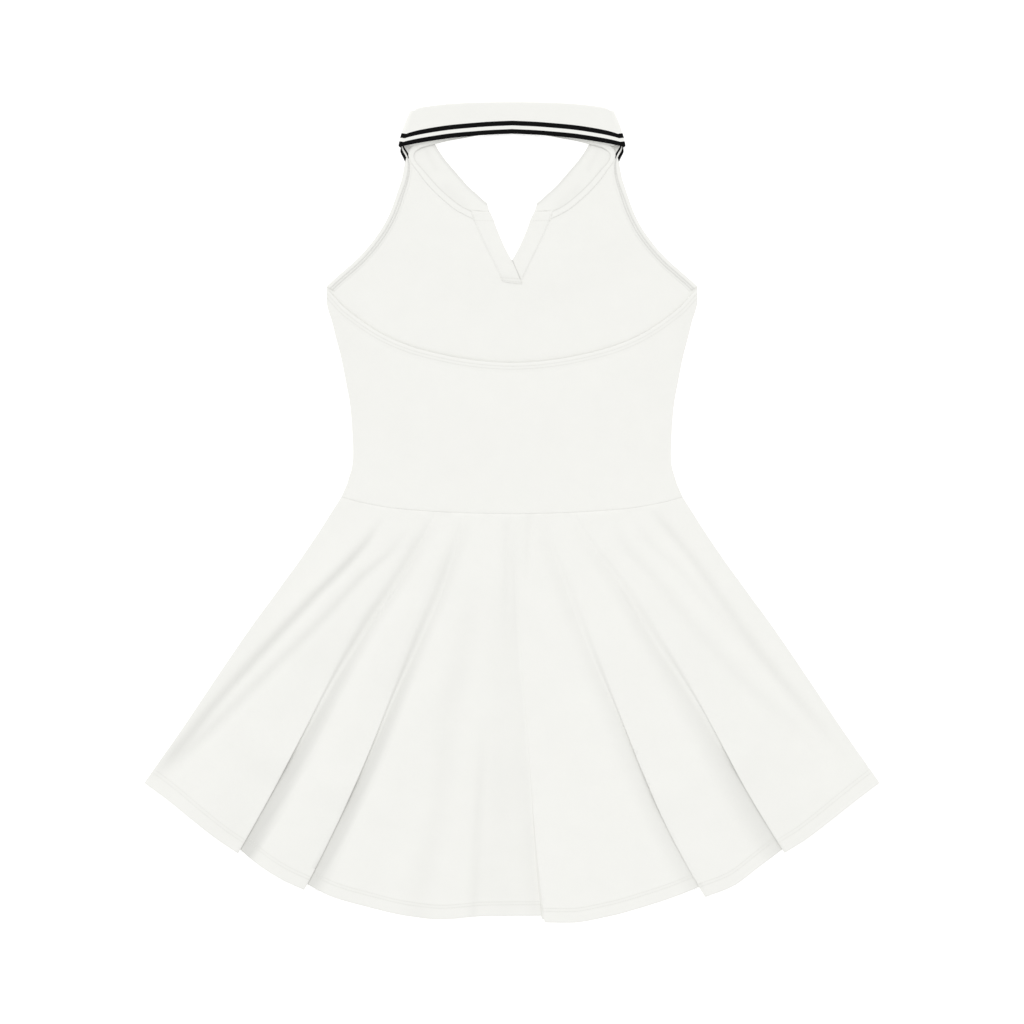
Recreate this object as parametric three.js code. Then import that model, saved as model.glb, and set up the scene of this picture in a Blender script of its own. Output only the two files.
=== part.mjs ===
// A knit tennis dress laid flat on its front, seen from its back.
// Millimetres. +X is the right side as seen from above, +Y runs to the collar, +Z is up from the surface.
// The origin is the middle of the outline, on the surface.

import * as THREE from 'three';

// Driving sizes

const WALL = 1.2; // thickness of the body cloth
const TRIM_WALL = 0.9; // thickness of hem bands and placket facing
const TAPE_WALL = 0.8; // thickness of the neck seam tape
const SEAM_GAP = 0.4; // room between two pieces that are sewn edge to edge
const LAY_GAP = 0.3; // room between two panels that lie on each other
const TRIM_GAP = 0.35; // room between a trim and the panel under it

const HEM_HALF_WIDTH = 386.4; // half the width of the skirt, corner to corner
const WAIST_HALF_WIDTH = 179.5;
const UNDERARM_HEIGHT = 235.5; // where the scoop meets the side

const COLLAR_FOLD_RADIUS = 0.75; // half the distance between the stand and the fall
const COLLAR_TURN_RADIUS = 2.125; // the side fold, from its axis to the middle of the band
const COLLAR_TURN_HEIGHT = 3.475; // height of that axis
const COLLAR_SAG = 3.0; // how far the back of the collar drops between the two sides
const COLLAR_SAG_INNER = 20; // it is at its lowest this far from the middle
const COLLAR_SAG_OUTER = 72; // and level from here on
const COLLAR_SIDE_BOW = 1.5; // how far the side fold bows outwards halfway down
const TAPE_HEIGHT = 3.45; // middle of the tape, over the collar stand
const ARMHOLE_BAND_WIDTH = 9.3;
const ARMHOLE_BAND_NARROW = 6.5; // its width where it runs into the tape
const ARMHOLE_BAND_GROWN = 0.12; // the share of its length that this takes
const ARMHOLE_BAND_TOP = 365.5;
const ARMHOLE_BAND_BOTTOM = 237;
const NECK_RAISE = LAY_GAP + WALL; // the front lies on the collar's front fall
const NECK_RAISE_REACH = 64; // from the roll line past the edge of the fall
const NECK_RAISE_EASE = 18;

const BACK_LEVEL = WALL + LAY_GAP + WALL / 2; // middle of the back cloth where it lies on the front
const BODICE_LOFT = 2.2; // how far the back bodice stands off the front
const SCOOP_LOFT_SHARE = 0.3; // the share of it along the scooped edge
const SEAM_LIFT = 1.2; // the same at the waist seam

// Tables: each row is one section, with a named column for each size

// Half the width of the dress from the shoulder down to the waist, at a height above the middle
const SIDE = [
  { up: 373, half: 110.6 },
  { up: 366.5, half: 112.5 },
  { up: 351, half: 115.5 },
  { up: 334, half: 121 },
  { up: 317, half: 127 },
  { up: 300, half: 135.5 },
  { up: 283.5, half: 147 },
  { up: 267, half: 161.5 },
  { up: 250, half: 180.5 },
  { up: 241.5, half: 188.8 },
  { up: 238, half: 192.8 },
  { up: 235.5, half: 194.5 },
  { up: 231, half: 195.2 },
  { up: 221.5, half: 195 },
  { up: 212, half: 193 },
  { up: 199.5, half: 189 },
  { up: 187, half: 186 },
  { up: 162, half: 179.5 },
  { up: 136.5, half: 174.5 },
  { up: 111, half: 170 },
  { up: 86, half: 168 },
  { up: 61, half: 167 },
  { up: 48, half: 168 },
  { up: 36, half: 171.5 },
  { up: 23, half: 175.5 },
  { up: 15.8, half: 179.5 },
];

// The waist seam, from past the middle to the side
const WAIST = [
  { across: -45, up: -1.2 },
  { across: 0, up: -2 },
  { across: 45, up: -1.2 },
  { across: 90, up: 1 },
  { across: 125, up: 4 },
  { across: 160, up: 10.4 },
  { across: 180, up: 15.8 },
];

// The scooped top edge of the back, from past the middle to the underarm
const SCOOP = [
  { across: -25, up: 157.8 },
  { across: 0, up: 156.6 },
  { across: 25, up: 157.8 },
  { across: 50, up: 160.8 },
  { across: 75, up: 165.6 },
  { across: 100, up: 171.9 },
  { across: 113, up: 176.3 },
  { across: 126, up: 181.7 },
  { across: 138.6, up: 188.1 },
  { across: 151, up: 195.8 },
  { across: 164, up: 205.1 },
  { across: 176.5, up: 215.3 },
  { across: 189, up: 228.8 },
  { across: 194.5, up: 235.5 },
];

// The front's left half: a point on its inner edge (neck seam, slit, then middle) and the height of the
// point on its outer edge that the section runs to
const FRONT_SECTIONS = [
  { innerX: -107.1, innerY: 372.8, side: 366.5 },
  { innerX: -104.2, innerY: 365.9, side: 363 },
  { innerX: -98, innerY: 357.3, side: 359 },
  { innerX: -88, innerY: 345.2, side: 351 },
  { innerX: -78.5, innerY: 335.7, side: 342 },
  { innerX: -67.6, innerY: 326.2, side: 334 },
  { innerX: -50.9, innerY: 317.1, side: 323 },
  { innerX: -35.7, innerY: 315, side: 313 },
  { innerX: -23.1, innerY: 314.8, side: 302 },
  { innerX: -20, innerY: 308.7, side: 294 },
  { innerX: -13.7, innerY: 291.9, side: 281 },
  { innerX: -6.3, innerY: 275.1, side: 265 },
  { innerX: 0, innerY: 264.2, side: 248 },
  { innerX: 0, innerY: 252, side: 235.5 },
  { innerX: 0, innerY: 231, side: 226 },
  { innerX: 0, innerY: 207, side: 207 },
  { innerX: 0, innerY: 180, side: 180 },
  { innerX: 0, innerY: 149, side: 149 },
  { innerX: 0, innerY: 107, side: 107 },
  { innerX: 0, innerY: 65, side: 65 },
  { innerX: 0, innerY: 30, side: 30 },
];

// The collar's left half from the middle of the back to the front end: points on its roll line, on the
// edge of its fall and on the edge of its stand
const COLLAR = [
  { rollX: 0, rollY: 431, fallX: 0, fallY: 397.2, standX: 0, standY: 399.6 },
  { rollX: -23, rollY: 430.7, fallX: -23, fallY: 396.2, standX: -23, standY: 398.9 },
  { rollX: -46, rollY: 429.9, fallX: -46, fallY: 394.3, standX: -46, standY: 396.6 },
  { rollX: -69.3, rollY: 428.2, fallX: -67, fallY: 392, standX: -67, standY: 392.8 },
  { rollX: -86, rollY: 426.3, fallX: -86, fallY: 389.2, standX: -82, standY: 389.8 },
  { rollX: -97.5, rollY: 424.3, fallX: -103, fallY: 386.3, standX: -97, standY: 386.6 },
  { rollX: -103.2, rollY: 421.2, fallX: -115, fallY: 383.7, standX: -105.4, standY: 384.4 },
  { rollX: -103.2, rollY: 421.2, fallX: -116.6, fallY: 382.8, standX: -105.8, standY: 384 },
  { rollX: -97.4, rollY: 413.4, fallX: -117.2, fallY: 378.8, standX: -106.4, standY: 379.8 },
  { rollX: -88.2, rollY: 399.5, fallX: -114, fallY: 371.7, standX: -106, standY: 373.5 },
  { rollX: -79.8, rollY: 384.3, fallX: -108.4, fallY: 359.5, standX: -103, standY: 366.8 },
  { rollX: -71.4, rollY: 371.7, fallX: -101.9, fallY: 348.6, standX: -96.9, standY: 358.2 },
  { rollX: -60.9, rollY: 359.1, fallX: -92.4, fallY: 336, standX: -87, standY: 346 },
  { rollX: -53.6, rollY: 350.7, fallX: -84, fallY: 326.6, standX: -77.5, standY: 336.5 },
  { rollX: -46.2, rollY: 342.3, fallX: -74.6, fallY: 315, standX: -66.6, standY: 327 },
  { rollX: -36.8, rollY: 333.9, fallX: -68.3, fallY: 300.3, standX: -50.4, standY: 318.2 },
  { rollX: -30.5, rollY: 328.1, fallX: -65.1, fallY: 290.9, standX: -35.7, standY: 316.3 },
  { rollX: -26.3, rollY: 324.5, fallX: -62, fallY: 282.5, standX: -23.6, standY: 315.7 },
];
const COLLAR_TURN_ROW = 6; // the side fold lies between this row and the next

// The tape's middle line, left half, from the middle of the back round the side to the placket, and half
// its width there
const TAPE = [
  { x: 0, y: 401.5, half: 3.5 },
  { x: -24, y: 400.6, half: 3.5 },
  { x: -40, y: 398.2, half: 3.5 },
  { x: -51, y: 396, half: 3.5 },
  { x: -68, y: 392.8, half: 3.5 },
  { x: -80.7, y: 389.8, half: 3.5 },
  { x: -89.3, y: 387.9, half: 3.5 },
  { x: -98.3, y: 384.7, half: 3.5 },
  { x: -101.8, y: 382, half: 3.4 },
  { x: -104.5, y: 379, half: 3.3 },
  { x: -105.8, y: 374.6, half: 3 },
  { x: -104.9, y: 370.4, half: 2.7 },
  { x: -101.4, y: 364.6, half: 2.6 },
  { x: -96.7, y: 359, half: 3 },
  { x: -90.8, y: 351.5, half: 3.4 },
  { x: -81.6, y: 341, half: 3.5 },
  { x: -70.4, y: 330.4, half: 3.5 },
  { x: -55.7, y: 318.9, half: 3.5 },
  { x: -44.4, y: 313, half: 3.5 },
];
const TAPE_BACK_ROWS = 6; // the rows up to here run along the back of the collar

// The placket facing, left side, from the neck seam down
const PLACKET = [
  { outerX: -42, outerY: 312.9, innerX: -22.3, innerY: 312.4 },
  { outerX: -36.2, outerY: 297.2, innerX: -15.8, innerY: 297.2 },
  { outerX: -27.3, outerY: 278.3, innerX: -7.7, innerY: 278.3 },
  { outerX: -18.4, outerY: 260.4, innerX: 1.6, innerY: 260.4 },
];
const PLACKET_TOP_END = { outerX: -9.5, outerY: 241.5, innerX: 10.5, innerY: 239.4 };
const PLACKET_UNDER_END = { outerX: -11, outerY: 244.5, innerX: 4.5, innerY: 247.5 };
const PLACKET_LIFT = 1.25; // the left side passes over the right one
const PLACKET_LIFT_TOP = 292;
const PLACKET_LIFT_FULL = 268;

// The back skirt's hem: each panel between two folds has its own stretch, from share to share of the width
const HEM = [
  [
    { share: 0, up: -284.6 },
    { share: 0.034, up: -303.5 },
    { share: 0.068, up: -324.5 },
    { share: 0.103, up: -345.5 },
    { share: 0.128, up: -358.5 },
  ],
  [
    { share: 0.128, up: -352.5 },
    { share: 0.159, up: -371.7 },
    { share: 0.192, up: -387.5 },
    { share: 0.218, up: -396.8 },
  ],
  [
    { share: 0.218, up: -389 },
    { share: 0.254, up: -403.2 },
    { share: 0.3, up: -413.7 },
    { share: 0.36, up: -424.2 },
    { share: 0.402, up: -427.5 },
    { share: 0.466, up: -424.2 },
    { share: 0.544, up: -423.8 },
  ],
  [
    { share: 0.544, up: -430.4 },
    { share: 0.58, up: -431 },
    { share: 0.633, up: -424.2 },
    { share: 0.682, up: -413.7 },
    { share: 0.723, up: -403.2 },
    { share: 0.762, up: -391 },
  ],
  [
    { share: 0.762, up: -404.3 },
    { share: 0.799, up: -393.2 },
    { share: 0.836, up: -372.2 },
    { share: 0.87, up: -352.5 },
  ],
  [
    { share: 0.87, up: -358 },
    { share: 0.895, up: -346 },
    { share: 0.931, up: -325 },
    { share: 0.966, up: -304 },
    { share: 1, up: -284.6 },
  ],
];

// Where each fold's edge runs: its share of the skirt's width at a share of the way down
const FOLD_LINES = [
  { down: 0, outerLeft: 0.27, innerLeft: 0.355, middle: 0.505, innerRight: 0.59, outerRight: 0.685 },
  { down: 0.1, outerLeft: 0.235, innerLeft: 0.335, middle: 0.51, innerRight: 0.622, outerRight: 0.735 },
  { down: 0.2, outerLeft: 0.205, innerLeft: 0.315, middle: 0.515, innerRight: 0.65, outerRight: 0.78 },
  { down: 0.3, outerLeft: 0.18, innerLeft: 0.295, middle: 0.518, innerRight: 0.668, outerRight: 0.802 },
  { down: 0.45, outerLeft: 0.161, innerLeft: 0.274, middle: 0.524, innerRight: 0.69, outerRight: 0.826 },
  { down: 0.6, outerLeft: 0.15, innerLeft: 0.258, middle: 0.53, innerRight: 0.71, outerRight: 0.842 },
  { down: 0.8, outerLeft: 0.138, innerLeft: 0.237, middle: 0.536, innerRight: 0.735, outerRight: 0.856 },
  { down: 1, outerLeft: 0.128, innerLeft: 0.218, middle: 0.544, innerRight: 0.762, outerRight: 0.87 },
];
const FOLDS = [
  { line: 'outerLeft', over: 'left', strength: 1 },
  { line: 'innerLeft', over: 'left', strength: 1 },
  { line: 'middle', over: 'right', strength: 0.3 },
  { line: 'innerRight', over: 'right', strength: 1 },
  { line: 'outerRight', over: 'right', strength: 1 },
];

// How a fold of full strength grows from the waist to the hem: the angle it turns through in degrees, its
// bend radius and the cloth between its two bends
const FOLD_GROWTH = [
  { down: 0, turn: 4, radius: 7, lap: 1 },
  { down: 0.1, turn: 12, radius: 7, lap: 1 },
  { down: 0.2, turn: 20, radius: 6, lap: 1.5 },
  { down: 0.32, turn: 30, radius: 5, lap: 1.5 },
  { down: 0.5, turn: 60, radius: 3, lap: 1.2 },
  { down: 0.65, turn: 110, radius: 2, lap: 1.5 },
  { down: 0.8, turn: 165, radius: 1.6, lap: 6 },
  { down: 1, turn: 178, radius: 1.5, lap: 15 },
];
const FOLD_EASE = 48; // how far a panel takes to come down from the fold it lies over
const FOLD_EASE_SHARE = 0.8; // but no more than this share of the panel

// How far each panel between two folds stands off the front skirt
const PANEL_LOFT = [3.4, 0.8, 2.4, 2, 0.8, 3.4];
const FULL_DOWN = 0.45; // the share of the way down at which lofts and creases are full

// Soft creases: their line as a share of the width, their height (a trough is below zero) and half width
const CREASES = [
  { waist: 0.155, upper: 0.1, middle: 0.037, lower: 0.012, height: -2.4, half: 9 },
  { waist: 0.225, upper: 0.155, middle: 0.07, lower: 0.024, height: -1.5, half: 9 },
  { waist: 0.41, upper: 0.405, middle: 0.386, lower: 0.38, height: -1.4, half: 11 },
  { waist: 0.475, upper: 0.47, middle: 0.458, lower: 0.45, height: -1.5, half: 10 },
  { waist: 0.495, upper: 0.495, middle: 0.497, lower: 0.5, height: 1.6, half: 8 },
  { waist: 0.78, upper: 0.815, middle: 0.9, lower: 0.95, height: 1.5, half: 12 },
  { waist: 0.91, upper: 0.94, middle: 0.975, lower: 0.99, height: -2.2, half: 9 },
];
const CREASE_DOWN = { waist: 0, upper: 0.15, middle: 0.5, lower: 0.85 };

// The front skirt's hidden hem, a little inside the back's
const FRONT_HEM = [
  { share: 0, up: -282.5 },
  { share: 0.068, up: -320 },
  { share: 0.128, up: -349 },
  { share: 0.216, up: -385.5 },
  { share: 0.3, up: -409 },
  { share: 0.4, up: -421 },
  { share: 0.5, up: -420 },
  { share: 0.6, up: -420 },
  { share: 0.682, up: -407 },
  { share: 0.762, up: -387 },
  { share: 0.871, up: -348.5 },
  { share: 0.931, up: -320 },
  { share: 1, up: -282.5 },
];
const FRONT_SKIRT_INSET = 0.997;

// How finely the panels are divided
const SKIRT_ROWS = [0, 0.03, 0.07, 0.13, 0.2, 0.28, 0.36, 0.45, 0.53, 0.61, 0.69, 0.77, 0.84, 0.9, 0.95, 1];
const PANEL_STEPS = [9, 5, 12, 9, 5, 9];
const FOLD_STEPS = 4;
const BODICE_COLUMNS = 26;
const BODICE_ROWS = 10;
const FRONT_COLUMNS = 9;
const FRONT_SKIRT_COLUMNS = 28;
const BAND_ROWS = 16;
const COLLAR_FALL_STEPS = 3;
const COLLAR_ROLL_STEPS = 4;
const COLLAR_STAND_STEPS = 3;
const COLLAR_STATIONS = [
  0, 0.75, 1.5, 2.25, 3, 3.6, 4.2, 4.7, 5.2, 5.6, 6, 6.25, 6.5, 6.75, 7,
  7.5, 8, 8.6, 9.3, 10, 10.7, 11.4, 12.1, 12.9, 13.7, 14.4, 15.1, 16, 17,
];

// Small functions

const clamp = (value, low, high) => Math.min(Math.max(value, low), high);
const mix = (from, to, share) => from + (to - from) * share;

function smoothStep(low, high, value) {
  const share = clamp((value - low) / (high - low), 0, 1);
  return share * share * (3 - 2 * share);
}

// A smooth curve through one column of a table, without overshoot, and straight past its ends
function along(rows, key, column, at) {
  const rising = rows[0][key] < rows[rows.length - 1][key];
  const list = rising ? rows : [...rows].reverse();
  const last = list.length - 1;
  const chord = (i) => (list[i + 1][column] - list[i][column]) / (list[i + 1][key] - list[i][key]);
  const slope = (i) => {
    if (i === 0) return chord(0);
    if (i === last) return chord(last - 1);
    const before = chord(i - 1);
    const after = chord(i);
    return before * after <= 0 ? 0 : (2 * before * after) / (before + after);
  };
  if (at <= list[0][key]) return list[0][column] + slope(0) * (at - list[0][key]);
  if (at >= list[last][key]) return list[last][column] + slope(last) * (at - list[last][key]);
  const i = list.findIndex((row, index) => index < last && at <= list[index + 1][key]);
  const span = list[i + 1][key] - list[i][key];
  const t = (at - list[i][key]) / span;
  return list[i][column] * (1 + 2 * t) * (1 - t) ** 2 + slope(i) * span * t * (1 - t) ** 2
    + list[i + 1][column] * t * t * (3 - 2 * t) + slope(i + 1) * span * t * t * (t - 1);
}

// The same through a table's rows in their order
function inOrder(rows, column, at) {
  return along(rows.map((row, index) => ({ index, value: row[column] })), 'index', 'value', at);
}

const collarSag = (x) => COLLAR_SAG * (1 - smoothStep(COLLAR_SAG_INNER, COLLAR_SAG_OUTER, Math.abs(x)));
const halfWidth = (up) => along(SIDE, 'up', 'half', up);
const waistUp = (x) => along(WAIST, 'across', 'up', Math.abs(x));
const scoopUp = (x) => along(SCOOP, 'across', 'up', Math.abs(x));
const seamLift = (x) => SEAM_LIFT * (1 - (x / WAIST_HALF_WIDTH) ** 4);

// Distance in plan from a point to the front roll line, taken on the left side
const ROLL_FRONT = COLLAR.slice(COLLAR_TURN_ROW + 1);
function rollDistance(x, y) {
  let nearest = Infinity;
  const spot = new THREE.Vector2(-Math.abs(x), y);
  for (let i = 0; i + 1 < ROLL_FRONT.length; i += 1) {
    const from = new THREE.Vector2(ROLL_FRONT[i].rollX, ROLL_FRONT[i].rollY);
    const way = new THREE.Vector2(ROLL_FRONT[i + 1].rollX, ROLL_FRONT[i + 1].rollY).sub(from);
    const share = clamp(spot.clone().sub(from).dot(way) / way.lengthSq(), 0, 1);
    nearest = Math.min(nearest, from.addScaledVector(way, share).distanceTo(spot));
  }
  return nearest;
}

// Height of the front bodice's underside: it lies on the surface, and over the collar near the neck
function frontUnderside(x, y) {
  const away = smoothStep(NECK_RAISE_REACH, NECK_RAISE_REACH + NECK_RAISE_EASE, rollDistance(x, y));
  return NECK_RAISE * (1 - away);
}

// A wall between two faces. Each grid holds rows of corners, and a corner has a point on either face.
// Grids that share corners are joined there, and every free edge is closed.
function clothWall(grids) {
  const positions = [];
  const ids = new Map();
  const idOf = (corner) => {
    const key = corner.lower.toArray().map((value) => value.toFixed(3)).join(' ');
    if (!ids.has(key)) {
      ids.set(key, positions.length / 6);
      positions.push(...corner.lower.toArray(), ...corner.upper.toArray());
    }
    return ids.get(key);
  };
  const triangles = [];
  const edges = new Map();
  const addTriangle = (a, b, c) => {
    if (a === b || b === c || c === a) return;
    triangles.push([a, b, c]);
    for (const [from, to] of [[a, b], [b, c], [c, a]]) edges.set(`${from} ${to}`, [from, to]);
  };
  for (const grid of grids) {
    for (let i = 0; i + 1 < grid.length; i += 1) {
      for (let j = 0; j + 1 < grid[i].length; j += 1) {
        const corners = [grid[i][j], grid[i][j + 1], grid[i + 1][j + 1], grid[i + 1][j]].map(idOf);
        addTriangle(corners[0], corners[1], corners[2]);
        addTriangle(corners[0], corners[2], corners[3]);
      }
    }
  }
  const index = [];
  for (const [a, b, c] of triangles) {
    index.push(2 * a + 1, 2 * b + 1, 2 * c + 1);
    index.push(2 * a, 2 * c, 2 * b);
  }
  for (const [from, to] of edges.values()) {
    if (edges.has(`${to} ${from}`)) continue;
    index.push(2 * from, 2 * to, 2 * to + 1);
    index.push(2 * from, 2 * to + 1, 2 * from + 1);
  }
  const geometry = new THREE.BufferGeometry();
  geometry.setAttribute('position', new THREE.Float32BufferAttribute(positions, 3));
  geometry.setIndex(index);
  if (volumeOf(geometry) < 0) {
    for (let i = 0; i < index.length; i += 3) [index[i], index[i + 1]] = [index[i + 1], index[i]];
    geometry.setIndex(index);
  }
  geometry.computeVertexNormals();
  return geometry;
}

function volumeOf(geometry) {
  const place = geometry.getAttribute('position');
  const order = geometry.getIndex();
  const [a, b, c] = [new THREE.Vector3(), new THREE.Vector3(), new THREE.Vector3()];
  let volume = 0;
  for (let i = 0; i < order.count; i += 3) {
    a.fromBufferAttribute(place, order.getX(i));
    b.fromBufferAttribute(place, order.getX(i + 1));
    c.fromBufferAttribute(place, order.getX(i + 2));
    volume += a.dot(b.cross(c)) / 6;
  }
  return volume;
}

// A corner of a panel that lies level: its underside's point, and the wall's thickness above it
function levelCorner(x, y, underside, wall) {
  return { lower: new THREE.Vector3(x, y, underside), upper: new THREE.Vector3(x, y, underside + wall) };
}

// A corner on either side of a cloth's middle surface, along its normal
function middleCorner(point, normal, wall) {
  return {
    lower: point.clone().addScaledVector(normal, -wall / 2),
    upper: point.clone().addScaledVector(normal, wall / 2),
  };
}

// Corners along the normals of a grid of middle points
function offsetGrid(points, wall) {
  return points.map((row, i) => row.map((point, j) => {
    const acrossWay = row[Math.min(j + 1, row.length - 1)].clone().sub(row[Math.max(j - 1, 0)]);
    const below = points[Math.min(i + 1, points.length - 1)][j];
    const downWay = below.clone().sub(points[Math.max(i - 1, 0)][j]);
    return middleCorner(point, downWay.cross(acrossWay).normalize(), wall);
  }));
}

const mirrorPoint = (point) => new THREE.Vector3(-point.x, point.y, point.z);
const mirrorGrid = (grid) => grid.map((row) => row.map(({ lower, upper }) => (
  { lower: mirrorPoint(lower), upper: mirrorPoint(upper) })).reverse());

// Front bodice: sections from the side to the neck, the slit and the middle, and their mirror image

function frontBodice() {
  const sectionCorners = ({ innerX, innerY, side }) => {
    const row = [];
    for (let j = 0; j <= FRONT_COLUMNS; j += 1) {
      const share = j / FRONT_COLUMNS;
      const x = mix(-halfWidth(side), innerX, share);
      const y = mix(side, innerY, share);
      row.push(levelCorner(x, y, frontUnderside(x, y), WALL));
    }
    return row;
  };
  const grid = FRONT_SECTIONS.map(sectionCorners);
  const waist = [];
  for (let j = 0; j <= FRONT_COLUMNS; j += 1) {
    const x = mix(-WAIST_HALF_WIDTH, 0, j / FRONT_COLUMNS);
    waist.push(levelCorner(x, waistUp(x) + SEAM_GAP / 2, 0, WALL));
  }
  grid.push(waist);
  return clothWall([grid, mirrorGrid(grid)]);
}

// Back bodice: rows from the scooped edge down to the waist seam

function backBodice() {
  const points = [];
  for (let i = 0; i <= BODICE_ROWS; i += 1) {
    const down = i / BODICE_ROWS;
    const row = [];
    for (let j = 0; j <= BODICE_COLUMNS; j += 1) {
      const side = (2 * j) / BODICE_COLUMNS - 1;
      const x = side * halfWidth(mix(UNDERARM_HEIGHT, waistUp(WAIST_HALF_WIDTH), down));
      const top = scoopUp(side * halfWidth(UNDERARM_HEIGHT));
      const y = mix(top, waistUp(side * WAIST_HALF_WIDTH) + SEAM_GAP / 2, down);
      const swell = mix(SCOOP_LOFT_SHARE, 1, Math.sin(Math.PI * down)) * (1 - down) * BODICE_LOFT;
      const lift = swell * (1 - side ** 4) + down * seamLift(side * WAIST_HALF_WIDTH);
      row.push(new THREE.Vector3(x, y, BACK_LEVEL + lift));
    }
    points.push(row);
  }
  return clothWall([offsetGrid(points, WALL)]);
}

// Front skirt: flat on the surface, from the waist seam to its hem

function frontSkirt() {
  const [waist, hem] = [[], []];
  for (let j = 0; j <= FRONT_SKIRT_COLUMNS; j += 1) {
    const share = j / FRONT_SKIRT_COLUMNS;
    const x = mix(-WAIST_HALF_WIDTH, WAIST_HALF_WIDTH, share) * FRONT_SKIRT_INSET;
    waist.push(levelCorner(x, waistUp(x) - SEAM_GAP / 2, 0, WALL));
    const low = mix(-HEM_HALF_WIDTH, HEM_HALF_WIDTH, share) * FRONT_SKIRT_INSET;
    hem.push(levelCorner(low, along(FRONT_HEM, 'share', 'up', share), 0, WALL));
  }
  return clothWall([[waist, hem]]);
}

// Back skirt: each row is one section across the folds

// The level that the back skirt's low stretches keep above the front
const bedLevel = (share) => BACK_LEVEL + seamLift((2 * share - 1) * WAIST_HALF_WIDTH);

function creaseHeight(share, down, width) {
  let height = 0;
  const grown = smoothStep(0, FULL_DOWN, down);
  for (const crease of CREASES) {
    const rows = Object.entries(CREASE_DOWN).map(([name, at]) => ({ at, share: crease[name] }));
    const away = ((share - along(rows, 'at', 'share', down)) * width) / crease.half;
    height += crease.height * grown * Math.exp(-away * away);
  }
  return height;
}

// One fold's bends as points of the section, from its left to its right. part tells how far the cloth has
// passed from one panel to the next.
function foldPoints(fold, down, width) {
  const share = along(FOLD_LINES, 'down', fold.line, down);
  const turn = along(FOLD_GROWTH, 'down', 'turn', down) * fold.strength * (Math.PI / 180);
  const radius = along(FOLD_GROWTH, 'down', 'radius', down);
  const lap = along(FOLD_GROWTH, 'down', 'lap', down) * fold.strength;
  const drop = 2 * radius * (1 - Math.cos(turn)) + lap * Math.sin(turn);
  const edge = radius * Math.sin(Math.min(turn, Math.PI / 2));
  const points = [];
  for (let k = 0; k <= FOLD_STEPS; k += 1) {
    const angle = (turn * k) / FOLD_STEPS;
    const out = radius * Math.sin(angle) - edge;
    points.push({ out, rise: drop - radius * (1 - Math.cos(angle)) });
  }
  const start = points[FOLD_STEPS];
  const centre = {
    out: start.out + lap * Math.cos(turn) + radius * Math.sin(turn),
    rise: start.rise - lap * Math.sin(turn) + radius * Math.cos(turn),
  };
  for (let k = FOLD_STEPS; k >= 0; k -= 1) {
    const angle = (turn * k) / FOLD_STEPS;
    points.push({ out: centre.out - radius * Math.sin(angle), rise: centre.rise - radius * Math.cos(angle) });
  }
  const last = points.length - 1;
  const section = points.map(({ out, rise }, k) => ({
    across: share * width + (fold.over === 'left' ? out : -out),
    rise,
    part: fold.over === 'left' ? k / last : 1 - k / last,
  }));
  return { drop, reach: lap + 2 * radius, section: fold.over === 'left' ? section : section.reverse() };
}

function skirtSection(down) {
  const width = 2 * mix(WAIST_HALF_WIDTH, HEM_HALF_WIDTH, down);
  const folds = FOLDS.map((fold) => ({ ...fold, ...foldPoints(fold, down, width) }));
  const section = [];
  for (let panel = 0; panel <= folds.length; panel += 1) {
    const before = folds[panel - 1];
    const after = folds[panel];
    const from = before ? before.section[before.section.length - 1].across : 0;
    const to = after ? after.section[0].across : width;
    const steps = PANEL_STEPS[panel];
    for (let k = before ? 1 : 0; k <= (after ? steps - 1 : steps); k += 1) {
      const across = mix(from, to, k / steps);
      const share = across / width;
      const ease = Math.min(FOLD_EASE, (to - from) * FOLD_EASE_SHARE);
      let height = PANEL_LOFT[panel] * smoothStep(0, FULL_DOWN, down) * Math.sin((Math.PI * k) / steps) ** 2;
      height += creaseHeight(share, down, width);
      if (after && after.over === 'left') {
        height += after.drop * (1 - smoothStep(after.reach, after.reach + ease, to - across));
      }
      if (before && before.over === 'right') {
        height += before.drop * (1 - smoothStep(before.reach, before.reach + ease, across - from));
      }
      const level = Math.max(bedLevel(share) + height, BACK_LEVEL);
      section.push({ across, level, panel, next: panel, part: 0 });
    }
    if (!after) continue;
    for (const { across, rise, part } of after.section) {
      const level = bedLevel(across / width) + rise;
      section.push({ across, level, panel, next: panel + 1, part });
    }
  }
  return section.map((spot) => ({ ...spot, share: spot.across / width }));
}

function skirtPoint({ share, level, panel, next, part }, down) {
  const x = mix(-WAIST_HALF_WIDTH, WAIST_HALF_WIDTH, share);
  const low = mix(-HEM_HALF_WIDTH, HEM_HALF_WIDTH, share);
  const hem = mix(along(HEM[panel], 'share', 'up', share), along(HEM[next], 'share', 'up', share), part);
  return new THREE.Vector3(mix(x, low, down), mix(waistUp(x) - SEAM_GAP / 2, hem, down), level);
}

function backSkirt() {
  const points = SKIRT_ROWS.map((down) => skirtSection(down).map((spot) => skirtPoint(spot, down)));
  return clothWall([offsetGrid(points, WALL)]);
}

// Collar: one band folded along its roll line, its two sides folded over from the back to the front

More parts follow.
